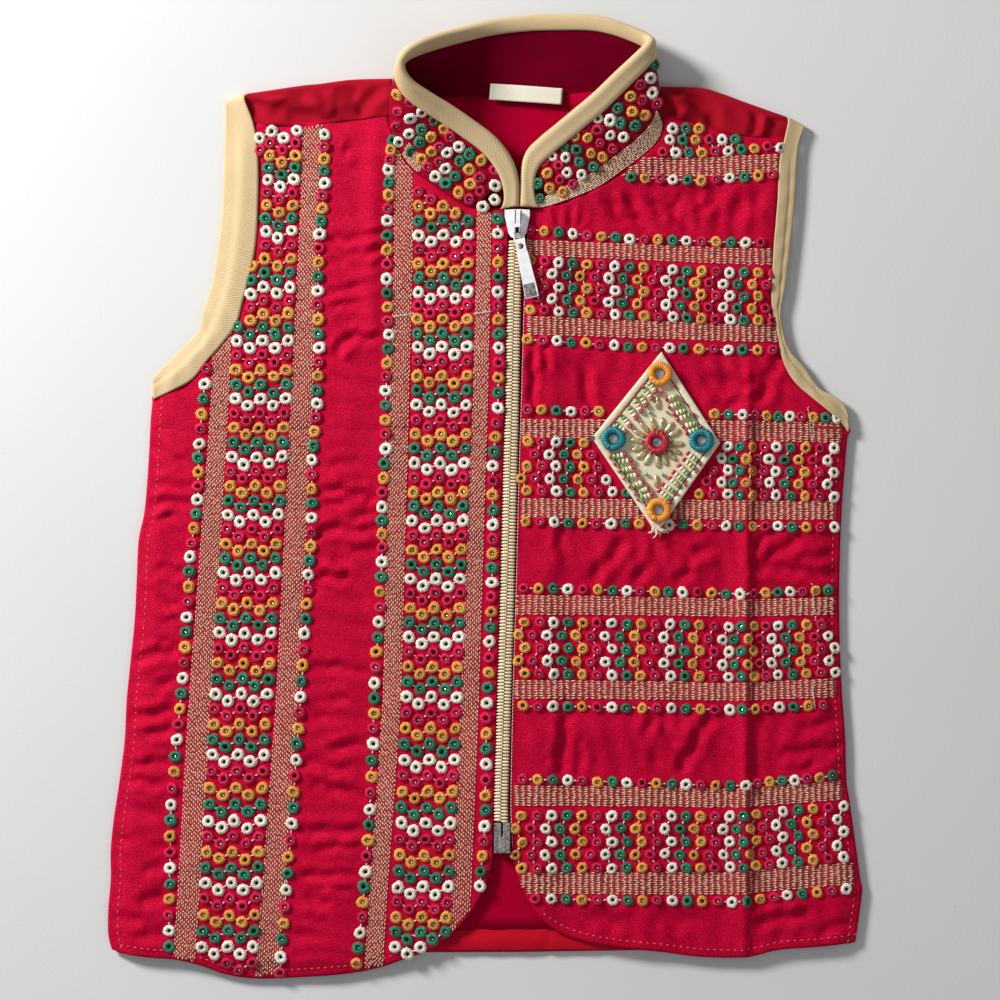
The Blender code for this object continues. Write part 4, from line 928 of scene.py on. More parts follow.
# Bands of ring embroidery down the wearer's right front: y, then x of the outer edge rings, the
# gold strip (out, in), the first and fifth ring column, the other strip (in, out), the edge rings.
BAND_A = [
    (151.0, -107.2, -104.4, -98.0, -95.6, -74.8, -72.4, -65.2, -62.8),
    (119.0, -108.8, -106.0, -99.6, -97.6, -76.8, -73.2, -67.2, -64.0),
    (39.0, -112.0, -109.2, -102.8, -99.6, -79.6, -77.2, -69.2, -67.2),
    (-81.0, -121.6, -118.0, -110.0, -108.0, -87.2, -83.2, -75.2, -73.4),
    (-161.0, -126.0, -122.8, -114.8, -112.2, -91.6, -89.2, -80.8, -79.0),
    (-194.0, -128.2, -125.0, -117.0, -114.2, -93.6, -91.8, -83.2, -81.4),
]
BAND_B = [
    (151.0, -38.8, -36.0, -29.2, -26.4, -6.0, -2.4, 2.4, 5.2),
    (99.0, -38.8, -36.0, -29.2, -26.4, -6.6, -2.8, 2.0, 5.2),
    (39.0, -40.0, -37.6, -30.8, -27.2, -7.2, -4.4, 0.8, 5.2),
    (-81.0, -44.0, -40.4, -34.0, -31.2, -11.2, -9.2, -2.8, 0.8),
    (-161.0, -49.0, -46.0, -39.6, -35.0, -15.0, -13.2, -6.0, -2.4),
    (-194.0, -51.0, -48.2, -41.8, -36.6, -16.6, -14.8, -7.4, -3.8),
]
# Heights of the white rings, top to bottom, in each band's columns.
WHITE_A = [146.6, 127.0, 106.6, 84.2, 62.6, 39.4, 16.2, -7.0, -30.2, -54.2, -78.6, -103.0, -129.4,
           -154.2, -179.8]
WHITE_B = [127.8, 105.0, 82.2, 60.2, 37.0, 13.8, -9.4, -32.6, -55.8, -79.8, -105.0, -130.2, -155.8,
           -179.8]
# White rings of the single edge columns, x and y.
EDGE_A_IN = [
    (-64.0, 145.0), (-64.0, 125.8), (-66.0, 105.4), (-66.8, 82.6), (-66.4, 59.8), (-67.2, 37.4),
    (-69.2, 15.0), (-69.2, -8.2), (-70.4, -31.0), (-72.0, -54.6), (-73.6, -79.8), (-75.6, -105.0),
    (-77.2, -130.6), (-79.6, -157.0), (-81.6, -183.8),
]
EDGE_A_OUT = [
    (-112.0, 45.4), (-114.4, 21.4), (-114.8, -1.0), (-118.0, -23.8), (-119.2, -47.8),
    (-120.8, -72.2), (-123.2, -97.0), (-125.6, -123.0), (-126.0, -148.2), (-126.4, -173.4),
]
EDGE_B_OUT = [
    (-36.4, 146.2), (-38.4, 131.0), (-38.8, 110.6), (-39.2, 87.4), (-38.4, 65.0), (-39.6, 42.6),
    (-39.6, 19.4), (-41.2, -3.8), (-41.2, -25.8), (-42.4, -49.8), (-44.0, -74.2), (-44.8, -98.6),
    (-46.0, -124.6), (-47.6, -149.8), (-50.0, -174.2),
]
EDGE_B_IN = [
    (5.2, 105.4), (5.2, 82.2), (5.6, 59.8), (5.2, 35.8), (3.2, 12.6), (3.2, -11.0), (2.8, -33.8),
    (2.0, -57.8), (0.8, -82.2), (0.4, -106.6), (0.0, -131.4), (-2.0, -155.4),
]
# Bands across the wearer's left front: x, then y of the top edge rings, the gold strip (out, in),
# the first and fifth ring row, the lower strip (in, out), the bottom edge rings.
BAND_2 = [
    (18.0, 107.0, 102.6, 97.0, 94.6, 75.0, 72.2, 65.4, 63.0),
    (58.0, 103.4, 101.2, 95.4, 92.0, 72.8, 70.6, 64.2, 60.3),
    (104.0, 101.9, 99.4, 93.4, 89.7, 70.8, 69.0, 62.6, 58.9),
]
BAND_3 = [
    (18.0, 35.0, 31.0, 24.2, 22.4, 2.6, -0.6, -7.8, -9.8),
    (98.0, 33.2, 30.6, 23.0, 20.3, 1.2, -1.4, -8.6, -11.4),
    (138.0, 31.8, 29.8, 22.2, 19.7, 0.3, -1.8, -8.6, -11.8),
]
BAND_4 = [
    (18.0, -36.2, -39.2, -46.6, -49.8, -70.4, -73.2, -80.2, -83.4),
    (74.0, -37.7, -40.2, -47.0, -50.8, -71.5, -73.8, -80.6, -84.4),
    (98.0, -38.6, -41.0, -47.4, -51.7, -72.0, -74.6, -81.0, -84.9),
    (140.0, -37.0, -40.2, -46.6, -50.8, -70.0, -72.6, -79.8, -83.0),
]
BAND_5 = [
    (18.0, -112.6, -115.4, -123.0, -127.2, -148.2, -150.2, -158.2, -160.6),
    (74.0, -114.6, -116.2, -123.4, -127.4, -148.0, -150.2, -158.6, -161.3),
    (100.0, -115.4, -117.0, -123.8, -127.7, -148.2, -150.2, -158.6, -161.8),
    (122.0, -113.0, -115.0, -122.2, -125.4, -146.0, -148.2, -156.6, -159.2),
    (144.0, -111.0, -113.4, -120.6, -123.6, -144.0, -146.5, -154.6, -156.8),
]
# The part band below the yoke: x, y of three ring rows, the gold strip (top, bottom), edge rings.
BAND_1 = [
    (54.0, 147.0, 142.6, 138.2, 135.4, 129.0, 128.2),
    (86.0, 147.4, 143.0, 137.8, 135.8, 128.6, 126.6),
    (114.0, 148.2, 143.4, 140.2, 137.0, 130.2, 129.0),
]
# x of the white rings: in the columns, along the top edge and along the bottom edge.
WHITES_ACROSS = [
    (BAND_2, [29.6, 52.2, 75.2, 98.0], [35.2, 58.0, 80.8, 104.4], [28.8, 51.8, 74.0, 97.4]),
    (BAND_3, [28.4, 51.1, 74.0, 97.2, 116.6, 139.6], [34.3, 57.2, 80.4, 103.2, 122.0],
     [27.7, 50.4, 73.5, 96.5, 117.3, 139.9]),
    (BAND_4, [27.6, 50.8, 74.2, 97.6, 117.4, 140.2], [33.2, 56.8, 79.2, 102.4, 122.3],
     [27.1, 50.9, 74.6, 98.0, 117.7, 141.5]),
    (BAND_5, [26.8, 50.9, 74.7, 98.0, 119.2, 143.6], [33.1, 57.0, 80.5, 104.0, 123.9],
     [26.5, 51.1, 75.1, 99.0, 121.2, 144.6]),
]
# Rings of the collar by pixel: the first ring of each row and its colour, then steps along a row.
COLLAR_ROWS_L = [
    (654.0, 64.0, "G"), (637.6, 76.0, "W"), (628.0, 84.0, "C"), (617.0, 96.0, "O"), (607.0, 107.0, "G"),
    (596.0, 118.0, "W"), (585.0, 127.0, "C"), (575.0, 137.0, "O"), (564.5, 147.0, "G"),
    (553.0, 156.0, "W"), (545.0, 163.0, "C"), (534.0, 172.0, "O"), (525.0, 182.0, "G"),
]
COLLAR_STEPS_L = [(0.0, 0.0), (13.0, 1.8), (15.0, 16.0), (28.0, 20.0)]
COLLAR_ROWS_R = [
    (398.0, 95.0, "O"), (410.0, 104.0, "C"), (421.6, 112.0, "W"), (432.8, 121.3, "G"),
    (444.0, 129.4, "O"), (451.0, 138.0, "C"), (457.7, 146.2, "W"), (469.5, 154.3, "G"),
    (482.0, 162.4, "O"), (493.0, 170.0, "C"), (506.0, 178.0, "W"),
]
COLLAR_STEPS_R = [(0.0, 0.0), (-11.5, 7.2), (-12.0, 22.0), (-22.5, 29.0), (-23.0, 43.0)]

# How far every second ring steps back, in the upright bands and in the level ones.
RING_PITCH_BACK = 2.9
RING_SHIFT = 2.6


def column(table, y, k):
    """The x that a vertical band's table gives for column k at height y."""
    return across(y, [(row[k], row[0]) for row in table])


def level_of(table, x, k):
    """The y that a horizontal band's table gives for line k at x."""
    return along(x, [(row[0], row[k]) for row in table])


def colour_run(whites, order, before, after):
    """Places from one white ring to the next with three colours between, and some past the ends."""
    whites = np.array(whites, float).reshape(len(whites), -1)
    for i in range(-before, 4 * (len(whites) - 1) + after + 1):
        k = min(max(i // 4, 0), len(whites) - 2)
        place = whites[k] + (whites[k + 1] - whites[k]) * (i / 4 - k)
        yield place, ("W" + order)[i % 4]


def under_patch(x, y):
    """True inside the patch, whose corners run clockwise."""
    sides = zip(PATCH, PATCH[1:] + PATCH[:1])
    return all((bx - ax) * (y - ay) - (by - ay) * (x - ax) < -1.0 for (ax, ay), (bx, by) in sides)


def in_front(x, y, margin=1.6):
    """True on the part of either front that is embroidered, inside its edges by a margin."""
    if x < FRONTS_MEET:
        arm = across(y, ARM_IN_R) if y > 39.0 else across(y, SIDE_R) + 2.6
        beside, hem, neck = arm - 0.6 < x < across(y, CF_R) - 0.2, HEM_R, NECK_LINE_R
    else:
        arm = across(y, ARM_IN_L) if y > 30.0 else across(y, SIDE_L) - 2.6
        beside, hem, neck = across(y, CF_L) + 0.9 < x < arm + 0.6, HEM_L, NECK_LINE_L
    level = along(x, hem) + margin < y < along(x, neck) - margin
    return beside and level and not (x > FRONTS_MEET and under_patch(x, y))


def front_rings():
    """Every ring on the fronts: x, y and colour letter."""
    found = []
    for table, whites in ((BAND_A, WHITE_A), (BAND_B, WHITE_B)):
        for (y,), colour in colour_run(whites, "COG", 6, 4):
            for i in range(5):
                low = y - RING_PITCH_BACK * (i % 2)
                first, last = column(table, low, 4), column(table, low, 5)
                found.append((first + (last - first) * i / 4, low, colour))
    for edge, order in ((EDGE_A_IN, "COG"), (EDGE_B_IN, "COG"), (EDGE_A_OUT, "GOC"), (EDGE_B_OUT, "GOC")):
        found += [(x, y, colour) for (x, y), colour in colour_run(edge, order, 3, 5)]
    for table, whites, upper, lower in WHITES_ACROSS:
        for (x,), colour in colour_run(whites, "GOC", 3, 3):
            for i in range(5):
                shifted = x - RING_SHIFT * (i % 2)
                first, last = level_of(table, shifted, 4), level_of(table, shifted, 5)
                found.append((shifted, first + (last - first) * i / 4, colour))
        found += [(x, level_of(table, x, 1), colour) for (x,), colour in colour_run(upper, "COG", 4, 5)]
        found += [(x, level_of(table, x, 8), colour) for (x,), colour in colour_run(lower, "GOC", 3, 3)]
    for (x,), colour in colour_run([75.1, 96.1, 117.1], "GOC", 6, 1):
        for i, back in ((1, 0.0), (2, 1.2), (3, -1.2)):
            found.append((x - back, level_of(BAND_1, x - back, i), colour))
    for (x,), colour in colour_run([52.7, 75.4, 98.0], "GOC", 1, 4):
        found.append((x, level_of(BAND_1, x, 6), colour))
    # At the top, the outermost rings keep clear of the binding.
    return [(max(x, -89.8) if y > 132.0 else x, y, c) for x, y, c in found if in_front(x, y)]


def on_front(x, y, lift=0.0):
    """Points on the fronts with the cloth's own upward direction."""
    x, y = np.asarray(x, float), np.asarray(y, float)
    d = 0.8
    slope_x = (top(x + d, y) - top(x - d, y)) / (2 * d)
    slope_y = (top(x, y + d) - top(x, y - d)) / (2 * d)
    up = unit(np.stack([-slope_x, -slope_y, np.ones_like(x)], axis=-1))
    return np.stack([x, y, top(x, y)], axis=-1) + up * lift, up


def copies(name, shape, origin, axes, mat):
    """One mesh of many copies of a shape: its points (k, 3), or (n, k, 3) where each copy differs,
    its faces, and a UV for each face corner. Each copy adds its own whole number to u."""
    template, faces, template_uv = shape
    count = len(origin)
    template = np.broadcast_to(np.asarray(template, float), (count, *np.shape(template)[-2:]))
    verts = origin[:, None] + sum(template[..., k : k + 1] * axis[:, None] for k, axis in enumerate(axes))
    first = np.arange(count)[:, None, None] * template.shape[1]
    all_faces = (faces[None] + first).reshape(-1, faces.shape[1])
    own = np.zeros((count, 1, 2))
    own[:, 0, 0] = np.arange(count)
    corner = (template_uv.reshape(1, -1, 2) * (0.998, 1.0) + (0.001, 0.0) + own).reshape(-1, 2)
    return mesh_piece(name, verts.reshape(-1, 3), all_faces, corner, [mat])


def plain_uv(faces):
    """The same UV at every face corner."""
    return np.full((faces.size, 2), 0.5)


def disc(radius, rise, sides):
    """A low cone of triangles, as a shape for copies."""
    a = 2 * np.pi * np.arange(sides) / sides
    rim = np.column_stack([radius * np.cos(a), radius * np.sin(a), 0 * a])
    faces = np.array([(i, (i + 1) % sides, sides) for i in range(sides)])
    return np.vstack([rim, (0.0, 0.0, rise)]), faces, plain_uv(faces)


def around_faces(rows, cols):
    """Quads of a ring-shaped grid that closes both ways."""
    i, j = np.arange(rows)[:, None], np.arange(cols)[None]
    a, b = i * cols, (i + 1) % rows * cols
    k = (j + 1) % cols
    return np.stack([a + j, b + j, b + k, a + k], axis=-1).reshape(-1, 4)


def capped(first, loops, last):
    """Points and triangles of a closed shape, from its two tips and the loops between them."""
    stations, sides = loops.shape[:2]
    verts = np.vstack([[first], loops.reshape(-1, 3), [last]])
    faces = []
    for k in range(stations - 1):
        for i in range(sides):
            a, b = 1 + k * sides + i, 1 + k * sides + (i + 1) % sides
            faces += [(a, b, b + sides), (a, b + sides, a + sides)]
    end = 1 + (stations - 1) * sides
    faces += [(0, 1 + (i + 1) % sides, 1 + i) for i in range(sides)]
    faces += [(end + i, end + (i + 1) % sides, len(verts) - 1) for i in range(sides)]
    return verts, np.array(faces)


def ring_shapes(count, turns=24, ragged=0.065):
    """Thread rings of 5 mm, each with its own uneven rim and wraps, as a shape for copies."""
    far, up = np.array([(2.48, -0.1), (2.36, 0.60), (1.74, 1.08), (1.00, 0.98), (0.52, -0.1)]).T
    angle = 2 * np.pi * np.arange(turns) / turns
    wobble = 1 + ragged * rng.standard_normal((count, turns, 5)) * (0.9, 0.7, 0.25, 0.5, 1.4)
    ridge = -((-1.0) ** np.arange(turns)[:, None])
    wobble = wobble + 0.022 * ridge * (1.0, 1.0, 0.2, 0.4, 1.2)
    swell = 1 + 0.05 * np.sin(2 * angle[None, :, None] + rng.uniform(0, 6.28, (count, 1, 1)))
    lift = 1 + 0.09 * rng.standard_normal((count, turns, 5)) * (0.0, 1.0, 0.9, 1.0, 0.0)
    lift = lift + 0.06 * ridge * (0.0, 1.3, 1.0, 1.0, 0.0)
    radius = far * wobble * swell
    verts = np.stack([radius * np.cos(angle)[:, None], radius * np.sin(angle)[:, None], up * lift], axis=-1)
    faces, corner = [], []
    for i in range(turns):
        for j in range(4):
            a, b = i * 5 + j, (i + 1) % turns * 5 + j
            faces.append((b, b + 1, a + 1, a))
            u, v = (i / turns, (i + 1) / turns), (j / 4, (j + 1) / 4)
            corner += [(u[1], v[0]), (u[1], v[1]), (u[0], v[1]), (u[0], v[0])]
    return verts.reshape(count, -1, 3), np.array(faces), np.array(corner)


def frames_on(up, spin):
    """Two directions in the cloth, turned by spin, beside its upward direction."""
    side = unit(np.cross(np.broadcast_to((0.0, 1.0, 0.0), up.shape), up))
    fore = np.cross(up, side)
    cos, sin = np.cos(spin)[:, None], np.sin(spin)[:, None]
    return side * cos + fore * sin, fore * cos - side * sin


def rings(places):
    """All ring embroidery, one piece a colour. places holds point, upward direction and colour."""
    for letter, colour in (("W", "white"), ("C", "crimson"), ("O", "amber"), ("G", "green")):
        origin, up = (np.array([place[k] for place in places if place[2] == letter]) for k in (0, 1))
        count = len(origin)
        up = unit(up + 0.07 * rng.standard_normal(up.shape))
        spin = rng.uniform(0, 2 * np.pi, count)
        side, fore = frames_on(up, spin)
        # Rings on the wearer's left front are wound a little smaller.
        small = (origin[:, 0] > FRONTS_MEET) & (origin[:, 1] < 146.0)
        size = rng.uniform(0.95, 1.05, (count, 1)) * np.where(small, 0.90, 1.0)[:, None]
        origin = origin + rng.normal(0, 0.12, origin.shape) * (1, 1, 0)
        shape = ring_shapes(count)
        axes = (side * size, fore * size * rng.uniform(0.95, 1.05, (count, 1)), up)
        copies("rings_" + colour, shape, origin, axes, THREADS[letter])
        axes = (side, fore, up)
        # A dark disc in each ring's hole: painted shade where the cloth shows through.
        copies("hole_shade_" + colour, disc(0.95, 0.02, 8), origin + up * 0.22, axes, HOLE_SHADE)
        if letter != "W":
            keep = rng.uniform(size=count) < 0.75
            tilt = unit(up + 0.22 * rng.standard_normal(up.shape))
            axes = [axis[keep] for axis in (*frames_on(tilt, spin), tilt)]
            copies("glints_" + colour, disc(0.42, 0.14, 6), (origin + up * 0.42)[keep], axes, GLINT)


def with_flat_uv(verts, faces):
    """A shape for copies whose UV is its own x and y."""
    return verts, faces, 0.5 + 0.45 * verts[faces.ravel()][:, :2]


# One stitch: a small pointed grain along X.
GRAIN = with_flat_uv(
    np.array([(-1, 0, 0), (1, 0, 0), (0, -1, 0.1), (0, 1, 0.1), (0, 0, 1), (0, 0, -0.4)], float),
    np.array([(0, 2, 4), (2, 1, 4), (1, 3, 4), (3, 0, 4), (2, 0, 5), (1, 2, 5), (3, 1, 5), (0, 3, 5)]))


def stitches(name, x, y, angle, length, width, mat, slot, height=0.32, lift=0.12, on=on_front):
    """Short raised stitches on the cloth, all in one mesh."""
    x, y, angle = np.asarray(x, float), np.asarray(y, float), np.asarray(angle, float)
    origin, up = on(x, y, lift)
    side, fore = frames_on(up, angle)
    length = np.broadcast_to(length, x.shape)[:, None] / 2
    copies(name, GRAIN, origin, (side * length, fore * width / 2, up * height), mat)


def strip_grids():
    """Every strip of metallic stitching: rows of x, y points along it, nine across it."""
    t = np.linspace(0.0, 1.0, 9)
    y = np.arange(-192.0, 152.0, 1.2)
    for table, k in ((BAND_A, 2), (BAND_A, 6), (BAND_B, 2), (BAND_B, 6)):
        near, far = column(table, y, k) - 0.5, column(table, y, k + 1) + 0.5
        yield np.stack([near[:, None] + (far - near)[:, None] * t, y[:, None] + 0 * t], axis=-1)
    x = np.arange(10.0, 150.0, 1.2)
    strips = [(table, k, k + 1) for table in (BAND_2, BAND_3, BAND_4, BAND_5) for k in (2, 6)]
    for table, high, low in strips + [(BAND_1, 4, 5)]:
        up, down = level_of(table, x, high) + 0.4, level_of(table, x, low) - 0.4
        yield np.stack([x[:, None] + 0 * t, down[:, None] + (up - down)[:, None] * t], axis=-1)


def inside(x, y, margin):
    """Which of many points are on the embroidered fronts."""
    return np.array([in_front(a, b, margin) for a, b in zip(np.ravel(x), np.ravel(y))])


def strip_stitches(grid):
    """Lines of stitches along one strip: x, y, turn and length. Upright strips are sewn closer."""
    rows = len(grid)
    upright = abs(grid[-1, 0, 1] - grid[0, 0, 1]) > 200.0
    spacing, pitch, longer = (0.74, 1.5, 0.0) if upright else (0.87, 2.1, 1.0)
    lines = int(np.linalg.norm(grid[:, -1] - grid[:, 0], axis=1).mean() / spacing)
    for line in range(lines):
        s = (line + 0.5) / lines
        edge = grid[:, 0] * (1 - s) + grid[:, -1] * s
        at = np.arange(0.4 + 0.75 * (line % 2) * upright, rows - 1, pitch)
        at = at + rng.uniform(-0.2, 0.2, at.shape)
        if upright:
            turn = math.pi / 2 - 0.34 * np.cos(0.035 * at + 0.6)
        else:
            turn = 0.16 * np.sign(np.sin(math.pi * at / pitch))
        turn = turn + rng.normal(0, 0.15, at.shape)
        size = rng.uniform(1.3, 2.1, at.shape) + longer
        x, y = (np.interp(at, np.arange(rows), edge[:, c]) for c in (0, 1))
        x, y = (v + rng.uniform(-0.12, 0.12, at.shape) for v in (x, y))
        yield np.stack([x, y, turn, size], axis=-1)


def gold_strips():
    """The strips of metallic running stitch beside the rings: a flat ground and its stitches."""
    places, verts, faces, count = [], [], [], 0
    for grid in strip_grids():
        places += strip_stitches(grid)
        x, y = grid[..., 0], grid[..., 1]
        point, up = on_front(x, y)
        rim = np.where(np.isin(np.arange(9), (0, 8)), -0.1, 0.26)
        quads = grid_faces(*x.shape)
        quads = quads[inside(x, y, 0.6)[quads].all(axis=1)]
        verts.append((point + up * rim[None, :, None]).reshape(-1, 3))
        faces.append(quads + count)
        count += x.size
    places = np.vstack(places)
    x, y, turn, size = places[inside(places[:, 0], places[:, 1], 1.0)].T
    stitches("gold_stitches", x, y, turn, size, 0.56, ZARI, "silk_crimson", 0.34, 0.24)
    verts, faces = np.vstack(verts), np.vstack(faces)
    used, faces = np.unique(faces, return_inverse=True)
    verts, faces = verts[used], faces.reshape(-1, 4)
    a, b, c = (verts[faces[:, k]] for k in (0, 1, 2))
    flip = np.cross(b - a, c - a)[:, 2] < 0
    faces[flip] = faces[flip][:, ::-1]
    mesh_piece("gold_strip_ground", verts, faces, verts[faces.ravel()][:, :2], [ZARI_BASE])


# Pixels of the joints sewn across the strips, from one end to the other.
STRIP_JOINTS = [
    (394, 317, 413.5, 313.6), (474.3, 314, 490.4, 312), (812, 584, 816, 620), (808, 408, 812, 440),
    (812, 684, 815, 708),
]


def linking_threads(places):
    """Pale thread that passes from ring to ring in the bands, and the joints of the strips."""
    point = np.array([(x, y) for x, y, c in places])
    step = np.diff(point, axis=0)
    alike = np.array([a[2] == b[2] for a, b in zip(places, places[1:])])
    keep = (np.linalg.norm(step, axis=1) < 7.0) & (rng.uniform(size=len(step)) < np.where(alike, 0.9, 0.5))
    x, y = (point[:-1] + step / 2)[keep].T
    turn = np.arctan2(step[keep, 1], step[keep, 0]) + rng.normal(0, 0.25, x.shape)
    stitches("linking_threads", x, y, turn, 2.6, 0.62, WHITE_STITCH, "silk_crimson", 0.42, 0.3)
    line = np.vstack([spaced([at_pixel(ax, ay), at_pixel(bx, by)], 13) for ax, ay, bx, by in STRIP_JOINTS])
    turn = np.where(np.arange(len(line)) % 2, 0.9, -0.9)
    stitches("joint_stitches", *line.T, turn, 1.5, 0.5, CREAM_THREAD, "silk_crimson", 0.4, 0.4)


def collar_spots():
    """Points of the collar's outer face with their pixels, for placing its rings."""
    grid, out = collar_face()
    scale = pixel_scale(grid[..., 2])
    px, py = 500.0 + (grid[..., 0] - CAMERA_X) / scale, 500.0 - (grid[..., 1] - CAMERA_Y) / scale
    return grid, np.broadcast_to(out[None], grid.shape), px, py


# Room from a ring to the collar's edge: below the first none is sewn, below the second it is set lower.
RING_ROOM = (7.4, 9.4)
RING_MISS = 3.0


def collar_rings():
    """Rings on the collar, set lower where the binding's edge covers them."""
    grid, up, px, py = collar_spots()
    facing = up[..., 2] > 0.05
    found = []
    for rows, steps in ((COLLAR_ROWS_L, COLLAR_STEPS_L), (COLLAR_ROWS_R, COLLAR_STEPS_R)):
        for bx, by, colour in rows:
            for dx, dy in steps:
                gap = np.where(facing, np.hypot(px - bx - dx, py - by - dy), 1e9)
                k = np.unravel_index(np.argmin(gap), gap.shape)
                room = np.linalg.norm(grid[-1, k[1]] - grid[k]) + COLLAR_SHORT
                if gap[k] < RING_MISS and k[0] > 1 and room > RING_ROOM[0]:
                    lower = 0.5 if room < RING_ROOM[1] else 0.0
                    found.append((grid[k] - up[k] * lower, up[k], colour))
    return found


def collar_gold():
    """The metallic strip along the collar's seam, on both halves."""
    grid, up, px, py = collar_spots()
    columns = grid.shape[1]
    k = np.arange(4, columns - 4, 0.8)
    sx, sy = np.interp(k, np.arange(columns), px[0]), np.interp(k, np.arange(columns), py[0])
    k = k[(k / columns > 0.74) | ((sx < 418.0) & (sy > 154.0) & (sy < 186.0))]
    origins, ups, runs = [], [], []
    along_seam = unit(np.gradient(grid[0], axis=0))
    for row in np.arange(0.6, 5.4, 0.6):
        at = k + rng.uniform(-0.3, 0.3, k.shape)
        low, left = int(row), at.astype(int)
        a, b = row - low, (at - left)[:, None]
        for field, out in ((grid, origins), (up, ups)):
            near = field[low, left] * (1 - a) + field[low + 1, left] * a
            far = field[low, left + 1] * (1 - a) + field[low + 1, left + 1] * a
            out.append(near * (1 - b) + far * b)
        runs.append(along_seam[left])
    origin, normal, run = (np.vstack(v) for v in (origins, ups, runs))
    run = unit(run + 0.12 * rng.standard_normal(run.shape))
    size = rng.uniform(0.75, 1.15, (len(run), 1))
    axes = (run * size, np.cross(normal, run) * 0.30, normal * 0.34)
    copies("collar_gold_stitches", GRAIN, origin + normal * 0.12, axes, ZARI)


def bar_shape(sides=7, stations=5):
    """A short rounded bar along X, two units long, as a shape for copies."""
    a = 2 * np.pi * np.arange(sides) / sides
    s = np.linspace(-0.9, 0.9, stations)[:, None]
    r = (1 - s**4) ** 0.5
    loops = np.stack([s + 0 * a, r * np.cos(a), r * np.sin(a)], axis=-1)
    return with_flat_uv(*capped((-1.0, 0.0, 0.0), loops, (1.0, 0.0, 0.0)))


def zip_teeth():
    """The coil: two staggered columns of thread bars between the tapes, and dark discs at its needle holes,
    painted shade.
    """
    top_y, bottom_y, pitch = 102.2, -129.4, 1.32
    first_y = np.arange(top_y, bottom_y, -pitch)
    for name, y, near, far, lean in (("left_column", first_y, -3.0, 0.35, 0.20),
                                     ("right_column", first_y - pitch / 2, -0.25, 2.7, -0.20)):
        origin = np.stack([across(y, ZIP) + (near + far) / 2, y, np.full(y.shape, TAPE_Z + 1.45)], axis=-1)
        axes = [((far - near) / 2 * 1.02, lean / 5, lean), (0.0, 0.56, 0.0), (0.0, 0.0, 0.62)]
        axes = [np.broadcast_to(axis, origin.shape) for axis in axes]
        made = copies("zip_coil_" + name, bar_shape(), origin, axes, COIL)
        if name == "left_column":
            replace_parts(made, "zip_chain")
    # Dark discs between the two columns: painted shade in the coil's holes.
    hole = np.stack([across(y, ZIP) - 0.1, y - pitch / 4, np.full(y.shape, TAPE_Z + 2.02)], axis=-1)
    copies("zip_coil_hole_shade", disc(0.36, 0.05, 8), hole, flat_axes(np.zeros(len(y))), HOLE_SHADE)


def shade_inlay(name, on, corners, mat, body="garment"):
    """A thin dark line on a rigid part, between four pixel corners, just above its face: painted shade for
    grooves, recesses and ends turned away from the light.
    """
    a, b, c, d = (np.array(at_pixel(*corner, 12.0)) for corner in corners)
    s, t = (v[..., None] for v in np.meshgrid(np.linspace(0, 1, 9), np.linspace(0, 1, 9)))
    flat = a * (1 - s) * (1 - t) + b * s * (1 - t) + c * s * t + d * (1 - s) * t
    to_local = on.matrix_world.inverted()
    down = (to_local.to_3x3() @ Vector((0, 0, -1))).normalized()
    verts = []
    for x, y in flat.reshape(-1, 2):
        hit, point, *_ = on.ray_cast(to_local @ Vector((x * MM, y * MM, 0.05)), down)
        verts.append((x, y, (on.matrix_world @ point).z / MM if hit else np.nan))
    verts = np.array(verts)
    verts[:, 2] = np.where(np.isnan(verts[:, 2]), np.nanmin(verts[:, 2]), verts[:, 2]) + 0.05
    grid_piece(name, verts.reshape(9, 9, 3), verts[:, :2], [mat], flipped=True, body=body)


# Pixel corners of the painted shade in the slider's two grooves and its recess, and on the end of the tab
# where it bends away from the light.
SLIDER_SHADE_MARKS = {
    "slider_groove_shade_1": [(514.9, 208.5), (515.9, 208.5), (515.6, 223.0), (514.6, 223.0)],
    "slider_groove_shade_2": [(520.6, 208.5), (521.6, 208.5), (521.4, 223.0), (520.4, 223.0)],
    "slider_recess_shade": [(514.6, 226.5), (520.6, 226.5), (520.4, 232.5), (514.6, 232.5)],
}
TAB_END = [(523.0, 284.0), (534.4, 281.5), (537.0, 294.5), (526.5, 297.0)]


def slider_shade_lines():
    """Painted shade in the grooves beside the slider's bridge and the recess below it, and on the tab's end
    where it bends away from the light.
    """
    # Dark lines in the slider's grooves and recess: painted shade.
    for name, corners in SLIDER_SHADE_MARKS.items():
        shade_inlay(name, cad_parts["zip_slider"], corners, HOLE_SHADE)
    # The tab's end in darker pewter: painted shade where it bends away from the light.
    shade_inlay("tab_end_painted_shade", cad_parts["zip_pull_tab"], TAB_END, PEWTER, "pull_tab")


def seam_lines():
    """Topstitching along the hems, the front edges and the sides."""
    lines = [
        ("hem_right", [(x, y + 3.4) for x, y in HEM_R[1:13]], 2.6, 1.7, PINK_STITCH),
        ("hem_left", [(x, y + 3.2) for x, y in HEM_L[5:]], 2.6, 1.6, PINK_STITCH),
        ("side_left", inset_line(SIDE_L, 3.0), 2.8, 1.7, PINK_STITCH),
        ("side_right", inset_line(SIDE_R, -4.0), 2.8, 1.8, PINK_STITCH),
        ("zip_edge_left", [(x + 0.2, y) for x, y in CF_L[1:]], 1.3, 1.7, CREAM_THREAD),
    ]
    for name, line, pitch, length, mat in lines:
        path = rounded(line)
        path = spaced(path, int(np.linalg.norm(np.diff(path, axis=0), axis=1).sum() / pitch))
        run = np.gradient(path, axis=0)
        stitches("topstitch_" + name, *path.T, np.arctan2(run[:, 1], run[:, 0]), length, 0.42, mat,
                 "silk_crimson", 0.22, 0.05)


